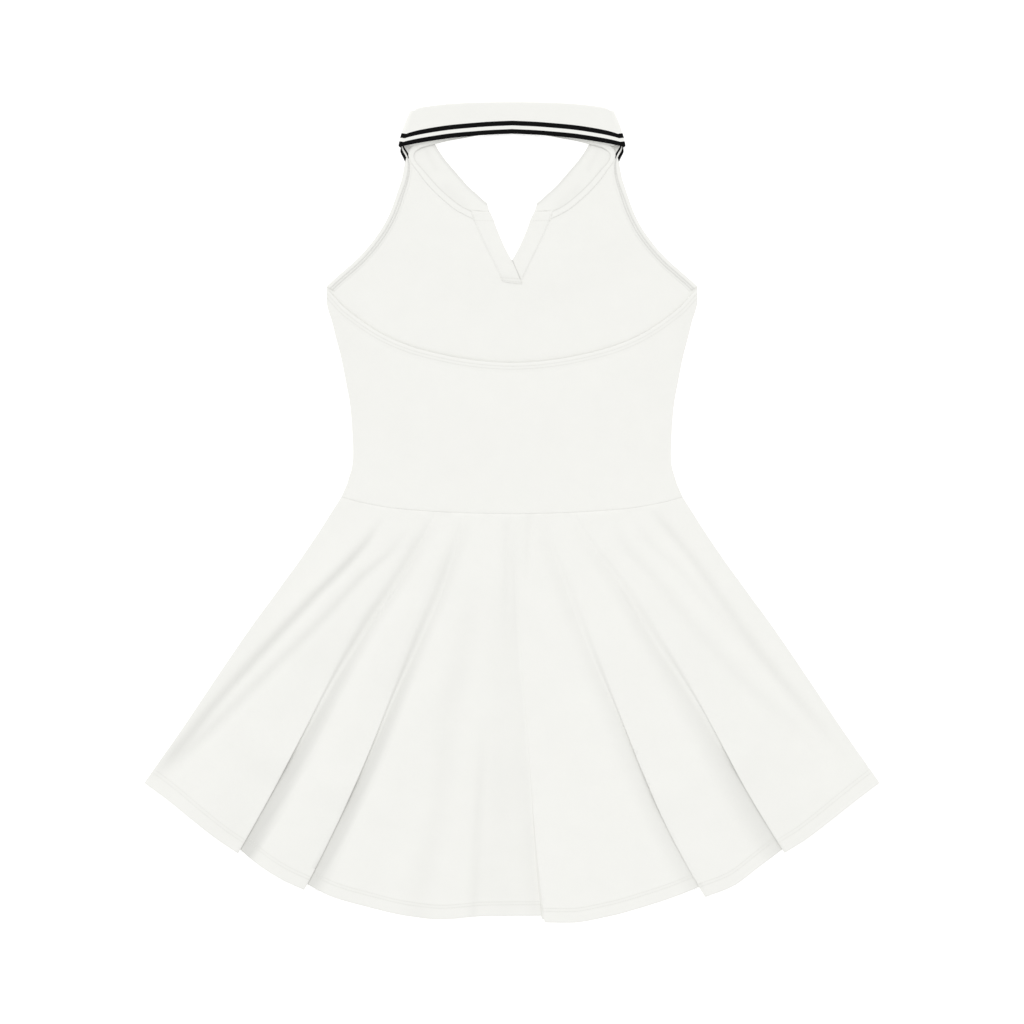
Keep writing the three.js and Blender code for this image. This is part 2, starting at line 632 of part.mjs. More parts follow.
function collarStation(at) {
  const row = Object.fromEntries(Object.keys(COLLAR[0]).map((key) => [key, inOrder(COLLAR, key, at)]));
  const turn = Math.PI * clamp(at - COLLAR_TURN_ROW, 0, 1);
  const roll = new THREE.Vector2(row.rollX, row.rollY);
  const fallWay = new THREE.Vector2(row.fallX, row.fallY).sub(roll);
  const standWay = new THREE.Vector2(row.standX, row.standY).sub(roll);
  const [fallLength, standLength] = [fallWay.length(), standWay.length()];
  fallWay.normalize();
  standWay.normalize();
  const sideFold = COLLAR[COLLAR_TURN_ROW];
  const fold = new THREE.Vector2(sideFold.fallX - sideFold.rollX, sideFold.fallY - sideFold.rollY);
  fold.normalize();
  const sideWay = new THREE.Vector2(fold.y, -fold.x);
  const sag = at < COLLAR_TURN_ROW ? collarSag(row.rollX) : 0;
  const rollIn = COLLAR_FOLD_RADIUS + WALL / 2;

  const place = (way, distance, layer) => {
    const flat = roll.clone().addScaledVector(way, distance);
    const arm = COLLAR_TURN_RADIUS + layer;
    const bow = COLLAR_SIDE_BOW * Math.sin((Math.PI * distance) / fallLength);
    flat.addScaledVector(sideWay, (arm + bow) * Math.sin(turn));
    return new THREE.Vector3(flat.x, flat.y, COLLAR_TURN_HEIGHT + arm * Math.cos(turn) - sag);
  };
  const points = [];
  for (let k = 0; k < COLLAR_FALL_STEPS; k += 1) {
    const distance = mix(fallLength, rollIn, k / COLLAR_FALL_STEPS);
    points.push(place(fallWay, distance, COLLAR_FOLD_RADIUS));
  }
  for (let k = 0; k <= COLLAR_ROLL_STEPS; k += 1) {
    const angle = (Math.PI * k) / COLLAR_ROLL_STEPS;
    const way = fallWay.clone().lerp(standWay, k / COLLAR_ROLL_STEPS).normalize();
    const distance = rollIn - COLLAR_FOLD_RADIUS * Math.sin(angle);
    points.push(place(way, distance, COLLAR_FOLD_RADIUS * Math.cos(angle)));
  }
  for (let k = 1; k <= COLLAR_STAND_STEPS; k += 1) {
    const distance = mix(rollIn, standLength, k / COLLAR_STAND_STEPS);
    points.push(place(standWay, distance, -COLLAR_FOLD_RADIUS));
  }
  return points;
}

function collar() {
  const left = COLLAR_STATIONS.map(collarStation);
  const right = left.slice(1).map((row) => row.map(mirrorPoint));
  return clothWall([offsetGrid([...left.reverse(), ...right], WALL)]);
}

// Neck seam tape: a ribbon along the collar's stand, all the way round

function neckSeamTape() {
  const steps = 2 * (TAPE.length - 1);
  const left = [];
  for (let k = 0; k <= steps; k += 1) {
    const at = k / 2;
    const x = inOrder(TAPE, 'x', at);
    const height = TAPE_HEIGHT - (at <= TAPE_BACK_ROWS ? collarSag(x) : 0);
    const spot = new THREE.Vector3(x, inOrder(TAPE, 'y', at), height);
    left.push({ spot, half: inOrder(TAPE, 'half', at) });
  }
  const right = left.slice(1).map(({ spot, half }) => ({ spot: mirrorPoint(spot), half }));
  const path = [...left.reverse(), ...right];
  const rows = path.map(({ spot, half }, i) => {
    const [before, after] = [path[Math.max(i - 1, 0)].spot, path[Math.min(i + 1, path.length - 1)].spot];
    const way = after.clone().sub(before);
    const side = new THREE.Vector3(-way.y, way.x, 0).normalize();
    return [-1, 1].map((edge) => {
      const corner = spot.clone().addScaledVector(side, edge * half);
      return levelCorner(corner.x, corner.y, corner.z - TAPE_WALL / 2, TAPE_WALL);
    });
  });
  return clothWall([rows]);
}

// Placket facing: a strip on each side of the slit, the left one over the right one at its end

const trimUnderside = (x, y) => frontUnderside(x, y) + WALL + TRIM_GAP;

function placketStrip(end, lift) {
  return [...PLACKET, end].map(({ outerX, outerY, innerX, innerY }) => [0, 0.5, 1].map((share) => {
    const x = mix(outerX, innerX, share);
    const y = mix(outerY, innerY, share);
    const raise = lift * (1 - smoothStep(PLACKET_LIFT_FULL, PLACKET_LIFT_TOP, y));
    return levelCorner(x, y, trimUnderside(x, y) + raise, TRIM_WALL);
  }));
}

const placketLeft = () => clothWall([placketStrip(PLACKET_TOP_END, PLACKET_LIFT)]);
const placketRight = () => clothWall([mirrorGrid(placketStrip(PLACKET_UNDER_END, 0))]);

// Armhole bands: a strip inside the front's outer edge, from the shoulder to the underarm

function armholeBand() {
  const rows = [];
  for (let k = 0; k <= BAND_ROWS; k += 1) {
    const up = mix(ARMHOLE_BAND_TOP, ARMHOLE_BAND_BOTTOM, k / BAND_ROWS);
    const [above, below] = [halfWidth(up + 1), halfWidth(up - 1)];
    const way = new THREE.Vector2(above - below, -2).normalize();
    const grown = smoothStep(0, ARMHOLE_BAND_GROWN, k / BAND_ROWS);
    const width = mix(ARMHOLE_BAND_NARROW, ARMHOLE_BAND_WIDTH, grown);
    rows.push([0, 1].map((share) => {
      const x = -halfWidth(up) - way.y * width * share;
      const y = up + way.x * width * share;
      return levelCorner(x, y, trimUnderside(x, y), TRIM_WALL);
    }));
  }
  return rows;
}

// The dress

const BODY_CLOTH = { color: 0xf3f3ef, roughness: 0.92, metalness: 0 };
const RIB_CLOTH = { color: 0xf4f4f0, roughness: 0.95, metalness: 0 };
const TAPE_CLOTH = { color: 0xf1f1ed, roughness: 0.9, metalness: 0 };

const PIECES = [
  ['front_bodice', frontBodice(), BODY_CLOTH],
  ['back_bodice', backBodice(), BODY_CLOTH],
  ['front_skirt', frontSkirt(), BODY_CLOTH],
  ['back_skirt', backSkirt(), BODY_CLOTH],
  ['collar', collar(), RIB_CLOTH],
  ['neck_seam_tape', neckSeamTape(), TAPE_CLOTH],
  ['placket_left', placketLeft(), BODY_CLOTH],
  ['placket_right', placketRight(), BODY_CLOTH],
  ['armhole_band_left', clothWall([armholeBand()]), BODY_CLOTH],
  ['armhole_band_right', clothWall([mirrorGrid(armholeBand())]), BODY_CLOTH],
];

const dress = new THREE.Group();
dress.name = 'tennis_dress';
for (const [name, geometry, finish] of PIECES) {
  const mesh = new THREE.Mesh(geometry, new THREE.MeshStandardMaterial(finish));
  mesh.name = name;
  dress.add(mesh);
}

export default dress;
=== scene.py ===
import math

import bmesh
import bpy
import numpy as np
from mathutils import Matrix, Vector


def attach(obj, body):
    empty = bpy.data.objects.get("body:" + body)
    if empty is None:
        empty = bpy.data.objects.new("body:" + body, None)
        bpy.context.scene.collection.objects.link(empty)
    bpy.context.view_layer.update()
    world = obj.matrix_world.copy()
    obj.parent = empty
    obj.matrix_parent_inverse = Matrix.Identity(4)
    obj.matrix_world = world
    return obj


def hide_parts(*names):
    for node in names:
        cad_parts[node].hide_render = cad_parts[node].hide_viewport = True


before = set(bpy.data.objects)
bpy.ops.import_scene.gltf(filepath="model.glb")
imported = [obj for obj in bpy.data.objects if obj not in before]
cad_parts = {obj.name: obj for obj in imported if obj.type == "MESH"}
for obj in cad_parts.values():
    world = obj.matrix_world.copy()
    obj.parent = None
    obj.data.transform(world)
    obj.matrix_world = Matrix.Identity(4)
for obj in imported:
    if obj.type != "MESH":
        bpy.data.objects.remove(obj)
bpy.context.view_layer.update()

bl_info = {
    "name": "Tennis dress",
    "version": (1, 0, 0),
    "blender": (4, 5, 0),
    "location": "3D View > Sidebar > Dress",
    "description": "A knit tennis dress laid flat on its front",
    "category": "Add Mesh",
}

MM = 0.001  # the tables are in millimetres, the meshes in metres


def table(names, *rows):
    """Columns by name, from rows in the order of the names."""
    return {name: np.array(column, float) for name, column in zip(names.split(), zip(*rows))}


# Half the width of the dress from the shoulder to the waist, at a height above the middle
SIDE = table(
    "up half",
    (373, 110.6), (366.5, 112.5), (351, 115.5), (334, 121), (317, 127), (300, 135.5), (283.5, 147),
    (267, 161.5), (250, 180.5), (241.5, 190), (235.5, 195), (221.5, 195), (212, 193), (199.5, 189),
    (187, 186), (162, 179.5), (136.5, 174.5), (111, 170), (86, 168), (61, 167), (48, 168), (36, 171.5),
    (23, 175.5), (15.8, 179.5),
)
# The waist seam and the scooped top edge of the back, from past the middle to the side
WAIST = table("across up", (-45, -1.2), (0, -2), (45, -1.2), (90, 1), (125, 4), (160, 10.4), (180, 15.8))
SCOOP = table(
    "across up",
    (-25, 157.8), (0, 156.6), (25, 157.8), (50, 160.8), (75, 165.6), (100, 171.9), (113, 176.3),
    (126, 181.7), (138.6, 188.1), (151, 195.8), (164, 205.1), (176.5, 215.3), (189, 228.8), (195, 235.5),
)
# The front's left half: a point on its inner edge, and the height of the outer point of that section
FRONT = table(
    "inner_x inner_y side",
    (-107.1, 372.8, 366.5), (-104.2, 365.9, 363), (-98, 357.3, 359), (-88, 345.2, 351),
    (-78.5, 335.7, 342), (-67.6, 326.2, 334), (-50.7, 317.9, 323), (-35.7, 316.1, 313), (-23.2, 315.5, 302),
    (-20, 308.7, 294), (-13.7, 291.9, 281), (-6.3, 275.1, 265), (0, 264.2, 248), (0, 252, 235.5),
    (0, 231, 226), (0, 207, 207), (0, 180, 180), (0, 149, 149), (0, 107, 107), (0, 65, 65), (0, 30, 30),
)
# The collar's left half from the middle of the back to the front end
COLLAR = table(
    "roll_x roll_y fall_x fall_y stand_x stand_y",
    (0, 431, 0, 397.2, 0, 399.6),
    (-23, 430.7, -23, 396.2, -23, 398.9),
    (-46, 429.9, -46, 394.3, -46, 396.6),
    (-69.3, 428.2, -67, 392, -67, 392.8),
    (-86, 426.3, -86, 389.2, -82, 389.8),
    (-97.5, 424.3, -103, 386.3, -97, 386.6),
    (-103.2, 421.2, -115, 383.7, -105.4, 384.4),
    (-103.2, 421.2, -116.6, 382.8, -105.8, 384),
    (-97.4, 413.4, -117.2, 378.8, -106.4, 379.8),
    (-88.2, 399.5, -114, 371.7, -106, 373.5),
    (-79.8, 384.3, -108.4, 359.5, -103, 366.8),
    (-71.4, 371.7, -101.9, 348.6, -96.9, 358.2),
    (-60.9, 359.1, -92.4, 336, -87, 346),
    (-53.6, 350.7, -84, 326.6, -77.5, 336.5),
    (-46.2, 342.3, -74.6, 315, -66.6, 327),
    (-36.8, 333.9, -68.3, 300.3, -50.4, 318.2),
    (-30.5, 328.1, -65.1, 290.9, -35.7, 316.3),
    (-26.3, 324.5, -62, 282.5, -23.6, 315.7),
)
TURN_ROW = 6  # the side fold lies between this row of the collar and the next
# The tape's middle line, left half, from the middle of the back to the placket, and half its width
TAPE = table(
    "x y half",
    (0, 401.5, 3.5), (-24, 400.6, 3.5), (-40, 398.2, 3.5), (-51, 396, 3.5), (-68, 392.8, 3.5),
    (-80.7, 389.8, 3.5), (-89.3, 387.9, 3.5), (-98.3, 384.7, 3.5), (-101.8, 382, 3.4), (-104.5, 379, 3.3),
    (-105.8, 374.6, 3), (-104.9, 370.4, 2.7), (-101.4, 364.6, 2.6), (-96.7, 359, 3), (-90.8, 351.5, 3.4),
    (-81.6, 341, 3.5), (-70.4, 330.4, 3.5), (-55.7, 318.9, 3.5), (-44.4, 313, 3.5),
)
TAPE_BACK_ROWS = 6
# The placket facing, left side, and its end on top and underneath
PLACKET = table(
    "outer_x outer_y inner_x inner_y",
    (-43.2, 315.8, -23.4, 315.3), (-36.2, 297.2, -15.8, 297.2), (-27.3, 278.3, -7.7, 278.3),
    (-18.4, 260.4, 1.6, 260.4),
)
PLACKET_TOP_END = (-9.5, 241.5, 10.5, 239.4)
PLACKET_UNDER_END = (-11, 244.5, 4.5, 247.5)
# The back skirt's hem between one fold and the next
HEM = (
    table("share up", (0, -284.6), (0.034, -303.5), (0.068, -324.5), (0.103, -345.5), (0.128, -358.5)),
    table("share up", (0.128, -352.5), (0.159, -371.7), (0.192, -387.5), (0.218, -396.8)),
    table(
        "share up",
        (0.218, -389), (0.254, -403.2), (0.3, -413.7), (0.36, -424.2), (0.402, -427.5), (0.466, -424.2),
        (0.544, -423.8),
    ),
    table(
        "share up",
        (0.544, -430.4), (0.58, -431), (0.633, -424.2), (0.682, -413.7), (0.723, -403.2), (0.762, -391),
    ),
    table("share up", (0.762, -404.3), (0.799, -393.2), (0.836, -372.2), (0.87, -352.5)),
    table("share up", (0.87, -358), (0.895, -346), (0.931, -325), (0.966, -304), (1, -284.6)),
)
# Where each fold's edge runs: its share of the skirt's width at a share of the way down
FOLD_LINES = table(
    "down outer_left inner_left middle inner_right outer_right",
    (0, 0.27, 0.355, 0.505, 0.59, 0.685),
    (0.1, 0.235, 0.335, 0.51, 0.622, 0.735),
    (0.2, 0.205, 0.315, 0.515, 0.65, 0.78),
    (0.3, 0.18, 0.295, 0.518, 0.668, 0.802),
    (0.45, 0.161, 0.274, 0.524, 0.69, 0.826),
    (0.6, 0.15, 0.258, 0.53, 0.71, 0.842),
    (0.8, 0.138, 0.237, 0.536, 0.735, 0.856),
    (1, 0.128, 0.218, 0.544, 0.762, 0.87),
)
# Each fold: which side lies over it, and how strongly it turns
FOLDS = (
    ("outer_left", "left", 1.0),
    ("inner_left", "left", 1.0),
    ("middle", "right", 0.3),
    ("inner_right", "right", 1.0),
    ("outer_right", "right", 1.0),
)
# How a fold of full strength grows from the waist to the hem
FOLD_GROWTH = table(
    "down turn radius lap",
    (0, 4, 24, 1), (0.1, 9, 26, 1), (0.2, 15, 22, 1), (0.32, 26, 12, 1.2), (0.5, 50, 2.6, 1),
    (0.65, 105, 0.7, 0.8), (0.8, 177, 0.5, 6), (1, 179, 0.47, 15),
)
PANEL_LOFT = (3.4, 0.8, 2.4, 2, 0.8, 3.4)  # how far each panel stands off the front skirt
# The cloth that runs in under a fold: how strongly it dips there and is darkened by painted shade, at a share
# of the way down
FOOT = table(
    "down outer_left inner_left middle inner_right outer_right",
    (0, 0, 0, 0, 0, 0),
    (0.15, 0.25, 0.2, 0.1, 0.12, 0.15),
    (0.3, 0.4, 0.35, 0.15, 0.15, 0.3),
    (0.5, 0.75, 0.75, 0.15, 0.35, 0.5),
    (0.7, 1, 1, 0.2, 0.5, 0.7),
    (0.85, 1.15, 1.05, 0.25, 0.6, 0.8),
    (1, 1.35, 1, 0.25, 0.6, 0.75),
)
# Soft creases: their share of the width, at each share of the way down or all the way, their depth, how much
# painted shade darkens them, half their width, and the stretch that they run over
CREASE_DOWN = (0, 0.1, 0.2, 0.3, 0.5, 0.7, 0.9)
CREASES = (
    ((0.274, 0.238, 0.208, 0.183, 0.16, 0.147, 0.136), 0.9, 0.15, 7, (0, 0.1, 0.34, 0.55)),
    ((0.359, 0.338, 0.318, 0.298, 0.272, 0.25, 0.231), 0.9, 0.15, 7, (0.02, 0.15, 0.34, 0.55)),
    ((0.578, 0.6, 0.622, 0.643, 0.685, 0.712, 0.738), 0.25, 0.05, 8, (0.01, 0.2, 0.4, 0.6)),
    ((0.673, 0.713, 0.752, 0.777, 0.82, 0.839, 0.853), 0.25, 0.07, 8, (0.01, 0.2, 0.4, 0.6)),
    ((0.137, 0.118, 0.09, 0.066, 0.038, 0.018, 0.008), 2.2, 0.4, 4.5, (0, 0.18, 0.85, 1)),
    ((0.23, 0.192, 0.14, 0.112, 0.07, 0.04, 0.018), 1.2, 0.2, 5, (0.02, 0.2, 0.8, 1)),
    ((0.41, 0.405, 0.402, 0.4, 0.385, 0.385, 0.375), 1, 0.08, 13, (0.1, 0.35, 0.9, 1.3)),
    (0.447, 0.5, 0.11, 5, (0.5, 0.7, 1, 1.2)),
    (0.485, 0.2, 0.06, 26, (0.45, 0.75, 1, 1.2)),
    (0.485, 0.5, 0.05, 4, (0, 0.04, 0.18, 0.35)),
    (0.51, 0.4, 0.04, 4, (0.03, 0.1, 0.28, 0.4)),
    ((0.475, 0.475, 0.475, 0.475, 0.478, 0.485, 0.49), 0.8, 0.04, 14, (0.1, 0.3, 0.6, 0.9)),
    ((0.548, 0.54, 0.535, 0.53, 0.53, 0.53, 0.53), 0.5, 0.05, 4, (0, 0.02, 0.1, 0.2)),
    ((0.785, 0.8, 0.84, 0.865, 0.905, 0.94, 0.97), 0.8, 0.07, 7, (0.02, 0.12, 0.6, 0.9)),
    ((0.83, 0.86, 0.9, 0.92, 0.95, 0.97, 0.985), 0.6, 0.06, 6, (0, 0.1, 0.4, 0.7)),
    ((0.9, 0.925, 0.942, 0.948, 0.958, 0.972, 0.985), 1.2, 0.17, 5, (0, 0.08, 0.6, 0.95)),
)
# How far the skirt's side edge runs inside a straight line, at a share of the way down
SIDE_BOW = table(
    "down inward",
    (0, 0), (0.06, 0.9), (0.13, 2), (0.22, 2.2), (0.29, 1.4), (0.37, 0.5), (0.42, -0.3), (0.52, -0.8),
    (0.63, -0.4), (0.71, 0), (0.82, 0.6), (0.92, 0.3), (1, 0),
)
# The armhole hem from the shoulder down: its width and the distance of its two stitch rows from its edge
BAND = table(
    "up width near far",
    (237, 9.3, 4.4, 6.9), (325, 9.3, 4.4, 6.9), (345, 9.3, 5, 6.4), (357, 8.3, 5.1, 6.3),
    (365.5, 6.4, 4.2, 5.2), (369, 4.4, 2.8, 3.6), (372, 2.2, 1.2, 1.6),
)
FRONT_HEM = table(
    "share up",
    (0, -282.5), (0.068, -320), (0.128, -349), (0.216, -385.5), (0.3, -409), (0.4, -421), (0.5, -420),
    (0.6, -420), (0.682, -407), (0.762, -387), (0.871, -348.5), (0.931, -320), (1, -282.5),
)

# Painted soft shade on the collar's front parts: a line, its half width and its strength
COLLAR_SHADES = table(
    "from_x from_y to_x to_y half tint",
    (-90, 379, -80, 360, 3, 0.08), (-70, 340, -50, 322, 5, 0.08), (-96, 396, -86, 385, 5, 0.05),
)

# Sizes in millimetres, and shares, that go with the tables
WALL = 1.2
SKIRT_WALL = 0.8
TRIM_WALL = 0.4
TAPE_WALL = 0.3
SEAM_GAP = 0.06
LAY_GAP = 0.3
TRIM_GAP = 0.08
TRIM_THIN = 0.25  # the share of a trim's wall that is left at its cut edge
HEM_HALF = 386.4
WAIST_HALF = 179.5
UNDERARM = 235.5
FRONT_SKIRT_INSET = 0.997
BACK_LEVEL = WALL + LAY_GAP + WALL / 2
NECK_RAISE = LAY_GAP + WALL
NECK_REACH = 64
NECK_EASE = 60
BODICE_LOFT = 2.2
SCOOP_LOFT_SHARE = 0.3
SEAM_LIFT = 1.2
FOLD_EASE = 48
FOLD_EASE_SHARE = 0.8
FULL_DOWN = 0.45
BED_EASE = 0.8  # how softly the skirt comes down on the front where the folds are low
BED_FREE = (0.35, 0.6)  # the stretch down over which that ease ends
BED_DIP = 0.2  # how far a back panel may sink, this far inside its side edges
BED_RUN = 6
FOOT_RISE = 2.6  # how far the cloth rises from under a fold
FOOT_RUN = 12  # over this length
FOOT_TOP = 24  # and how far from the fold it sinks again
# The painted shadow beside a fold's edge: how far it stays even and where it ends, then its strength
FOOT_PAINTED_SHADE_RUN = {"left": (9, 19), "right": (0, 28)}  # the shade is even as far as this, and gone by then
FOOT_PAINTED_SHADE = 0.5
COLLAR_FOLD = 0.75
COLLAR_TURN = 2.125
COLLAR_THIN = 0.5  # the share of the wall that is left at the knitted edge
COLLAR_TURN_HEIGHT = 3.475
COLLAR_SAG = 3.0
SAG_INNER = 20
SAG_OUTER = 72
COLLAR_BOW = 1.5  # how far the side fold bows outwards halfway down
TAPE_HEIGHT = 3.75  # under the back of the collar
TAPE_FRONT_HEIGHT = 2.93
PLACKET_LIFT = 0.5
PLACKET_LIFT_TOP = 292
PLACKET_LIFT_FULL = 268
PLACKET_END = 0.5  # the share of its last stretch over which a strip is pressed down to its sewn end
PLACKET_RISE = 0.35  # the share of its width over which the top strip rises to its inner edge
PLACKET_PRESS = (0.2, 0.4)  # the shares of its rise and of its wall that are left at the sewn end
SLIT = ((-0.3, 264.2), (10.5, 239.4))  # where the top strip's inner edge crosses the other one
# The slit's groove also paints the shadow of the top strip's edge on the under strip
SLIT_GROOVE = (0.0, 1.3, 0.9)  # its place, half width and depth
# The strength of the painted shadow on the tape:
TAPE_EDGE_PAINTED_SHADE = 0.4  # at its inner edge, where it stands off the collar
TAPE_TURN_ROWS = 3  # the rows over which the tape comes down to its height in front
TAPE_END_SLANT = 5  # how much longer the tape's outer edge runs, to meet the placket
TAPE_STITCHES = (-0.84, 0.84)  # shares of its half width
# Painted shade on the collar's front parts, its strength and half width:
NECK_PAINTED_SHADE = 0.5  # along the neck opening
NECK_PAINTED_SHADE_HALF = 2.2
BAND_STEP = 2.2  # the band's wall thins over this width at its cut edge

# The dent on either side of the front's middle: its own middle, its lean, its half sizes and its depth
DENT_SPOT = (-44, 250)
DENT_LEAN = 0.1
DENT_HALF = (7, 38)
DENT_DEPTH = {"left": 0.35, "right": 0.5}
# Soft waves: their height, length and seed, then how far from the waist seam they reach full height or fade
RIPPLE_WAVES = 9
RIPPLE_SPREAD = (0.7, 1.6)
FRONT_WAVES = (0.06, 60, 21)
BODICE_WAVES = ((0.08, 70, 3, 20), (0.2, 26, 5, 14))
SKIRT_WAVES = ((0.1, 80, 12, 30), (0.3, 24, 11, 22))
GATHER_STRETCH = 9  # how much longer than wide the waves that the seam gathers are
GATHER_START = 4
SEAM_DIP = {"bodice": 0.15, "skirt": 0.1}  # at the waist seam
SEAM_DIP_HALF = 1.8
HEM_STEP = (0.12, 16, 18)  # the height of the turned hem, and where it falls off
SCOOP_STEP = (0.15, 8.2, 10)
HEM_FLAT = 12  # the skirt's side edges are flat over this width

# Grooves that the stitch rows and the waist seam press in: half width and depth, which also sets their
# painted shade
ROW_GROOVE = (0.9, 0.08)
HEM_GROOVE = (0.9, 0.06)
BAND_GROOVE = (1.25, 0.55)
WAIST_GROOVE = (0.0, 1.1, 0.04)  # its place, half width and depth
PANEL_THREAD_LIFT = 0.1  # how far the middle of a thread stands off its cloth
TRIM_THREAD_LIFT = 0.05
THREAD_FLATNESS = 0.8

# The knit's columns and rows, the rib's, the tape's twill and the stripes' soft edge, in metres
KNIT = (0.00085, 0.0007)
RIB = (0.0013, 0.0009)
TWILL = 0.0007
STRIPE_WANDER = (0.0011, 0.00012)  # the length and height of its waves
STRIPE_SOFT = 0.00016

ROUND_EDGE = 0.35  # the rounding of a panel's edge, with the thinner pieces' own
SKIRT_ROUND_EDGE = 0.25
TAPE_ROUND_EDGE = 0.12
TRIM_ROUND_EDGE = 0.1
EDGE_ANGLE = 55
WELD = 0.02


class Curve:
    """A smooth curve through two columns, without overshoot, and straight past its ends."""

    def __init__(self, at, value):
        order = np.argsort(at, kind="stable")
        self.at = np.asarray(at, float)[order]
        self.value = np.asarray(value, float)[order]
        chord = np.diff(self.value) / np.diff(self.at)
        before, after = chord[:-1], chord[1:]
        total = np.where(before * after > 0, before + after, 1.0)
        inner = np.where(before * after > 0, 2 * before * after / total, 0.0)
        self.slope = np.concatenate(([chord[0]], inner, [chord[-1]]))

    def __call__(self, at):
        at = np.asarray(at, float)
        i = np.clip(np.searchsorted(self.at, at, side="right") - 1, 0, len(self.at) - 2)
        span = self.at[i + 1] - self.at[i]
        t = np.clip((at - self.at[i]) / span, 0, 1)
        inside = (
            self.value[i] * (1 + 2 * t) * (1 - t) ** 2
            + self.slope[i] * span * t * (1 - t) ** 2
            + self.value[i + 1] * t * t * (3 - 2 * t)
            + self.slope[i + 1] * span * t * t * (t - 1)
        )
        below = np.minimum(at - self.at[0], 0) * self.slope[0]
        above = np.maximum(at - self.at[-1], 0) * self.slope[-1]
        return inside + below + above


def ordered(columns, name):
    """The curve of one column over the number of its row."""
    return Curve(np.arange(len(columns[name])), columns[name])


def smooth_step(low, high, value):
    share = np.clip((np.asarray(value, float) - low) / (high - low), 0, 1)
    return share * share * (3 - 2 * share)


def mix(start, end, share):
    return start + (end - start) * share


def unit(vectors):
    length = np.linalg.norm(vectors, axis=-1, keepdims=True)
    return vectors / np.where(length > 0, length, 1)


half_width = Curve(SIDE["up"], SIDE["half"])
waist_curve = Curve(WAIST["across"], WAIST["up"])
scoop_curve = Curve(SCOOP["across"], SCOOP["up"])


def waist_up(x):
    return waist_curve(np.abs(x))


def scoop_up(x):
    return scoop_curve(np.abs(x))


def seam_lift(x):
    return SEAM_LIFT * (1 - (np.asarray(x) / WAIST_HALF) ** 4)


def collar_sag(x):
    return COLLAR_SAG * (1 - smooth_step(SAG_INNER, SAG_OUTER, np.abs(x)))


def roll_distance(x, y):
    """Distance in plan to the collar's front roll line, taken on the left side."""
    spot = np.stack([-np.abs(x), y], axis=-1)
    line = np.stack([COLLAR["roll_x"], COLLAR["roll_y"]], axis=-1)[TURN_ROW + 1:]
    nearest = np.full(spot.shape[:-1], np.inf)
    for start, end in zip(line[:-1], line[1:]):
        way = end - start
        share = np.clip(((spot - start) @ way) / (way @ way), 0, 1)
        gap = np.linalg.norm(spot - start - share[..., None] * way, axis=-1)
        nearest = np.minimum(nearest, gap)
    return nearest


def front_underside(x, y):
    """The front lies on the floor, and over the collar near the neck."""
    return NECK_RAISE * (1 - smooth_step(NECK_REACH, NECK_REACH + NECK_EASE, roll_distance(x, y)))


def ripple(x, y, length, seed):
    """Uneven soft waves of about unit height, the same on every run."""
    draw = np.random.default_rng(seed)
    height = np.zeros(np.broadcast(x, y).shape)
    for _ in range(RIPPLE_WAVES):
        angle = draw.uniform(0, math.tau)
        size = length * draw.uniform(*RIPPLE_SPREAD)
        phase = draw.uniform(0, math.tau)
        along = np.asarray(x) * math.cos(angle) + np.asarray(y) * math.sin(angle)
        height += np.sin(along * math.tau / size + phase)
    return height / math.sqrt(RIPPLE_WAVES)


def panel_waves(x, y, from_waist, broad, gathered):
    """A back panel's broad waves, and the narrow ones that its waist seam gathers."""
    height, length, seed, full = broad
    waves = height * ripple(x, y, length, seed) * smooth_step(0, full, from_waist)
    height, length, seed, fade = gathered
    narrow = height * ripple(x, y / GATHER_STRETCH, length, seed) * np.exp(-from_waist / fade)
    return waves + narrow * smooth_step(0, GATHER_START, from_waist)


def seam_dip(depth, from_waist):
    return depth * np.exp(-((from_waist / SEAM_DIP_HALF) ** 2))


def turned_step(distance, height, start, end):
    """The extra height of a turned edge, at a distance from it."""
    return height * (1 - smooth_step(start, end, distance))


def on_bed(level, edge):
    """Keeps a back panel from sinking into the front, by its distance from the side edge."""
    return np.maximum(level, BACK_LEVEL - BED_DIP * smooth_step(0, BED_RUN, edge))


def front_level(x, y):
    """The underside of the front with the soft waves and the dent on either side of its middle."""
    left = -np.abs(x)
    up = y - DENT_SPOT[1]
    across = left - DENT_SPOT[0] - DENT_LEAN * up
    dent = np.exp(-((across / DENT_HALF[0]) ** 2)) * np.exp(-((up / DENT_HALF[1]) ** 2))
    height, length, seed = FRONT_WAVES
    waves = height * np.abs(ripple(left, y, length, seed))
    depth = np.where(np.asarray(x) > 0, DENT_DEPTH["right"], DENT_DEPTH["left"])
    return front_underside(x, y) + waves + depth * dent


# Meshes


def grid_normals(points):
    across = np.gradient(points, axis=1)
    down = np.gradient(points, axis=0)
    return unit(np.cross(down, across))


def spaced(*parts):
    """Places in a row from stretches of (start, end, count), each without its end but the last."""
    runs = [np.linspace(*part)[:-1] for part in parts[:-1]]
    return np.concatenate([*runs, np.linspace(*parts[-1])])


def lengths_along(points, axis=0):
    """How far each point of a line or a grid lies from the first one, along its column or row."""
    steps = np.moveaxis(np.linalg.norm(np.diff(points, axis=axis), axis=-1), axis, 0)
    return np.moveaxis(np.concatenate([np.zeros_like(steps[:1]), np.cumsum(steps, axis=0)]), 0, axis)


def over_grid(lengths, points):
    """One length for each row, given to all its points."""
    return lengths[:, None] + np.zeros(points.shape[:2])


def cloth_lengths(points):
    """Cloth coordinates of a grid in millimetres: along its rows, and down its columns."""
    across = lengths_along(points, 1)
    across -= across[:, -1:] / 2
    steps = np.linalg.norm(np.diff(points, axis=0), axis=-1).mean(axis=1)
    return across, over_grid(np.concatenate([[0], np.cumsum(steps)]), points)


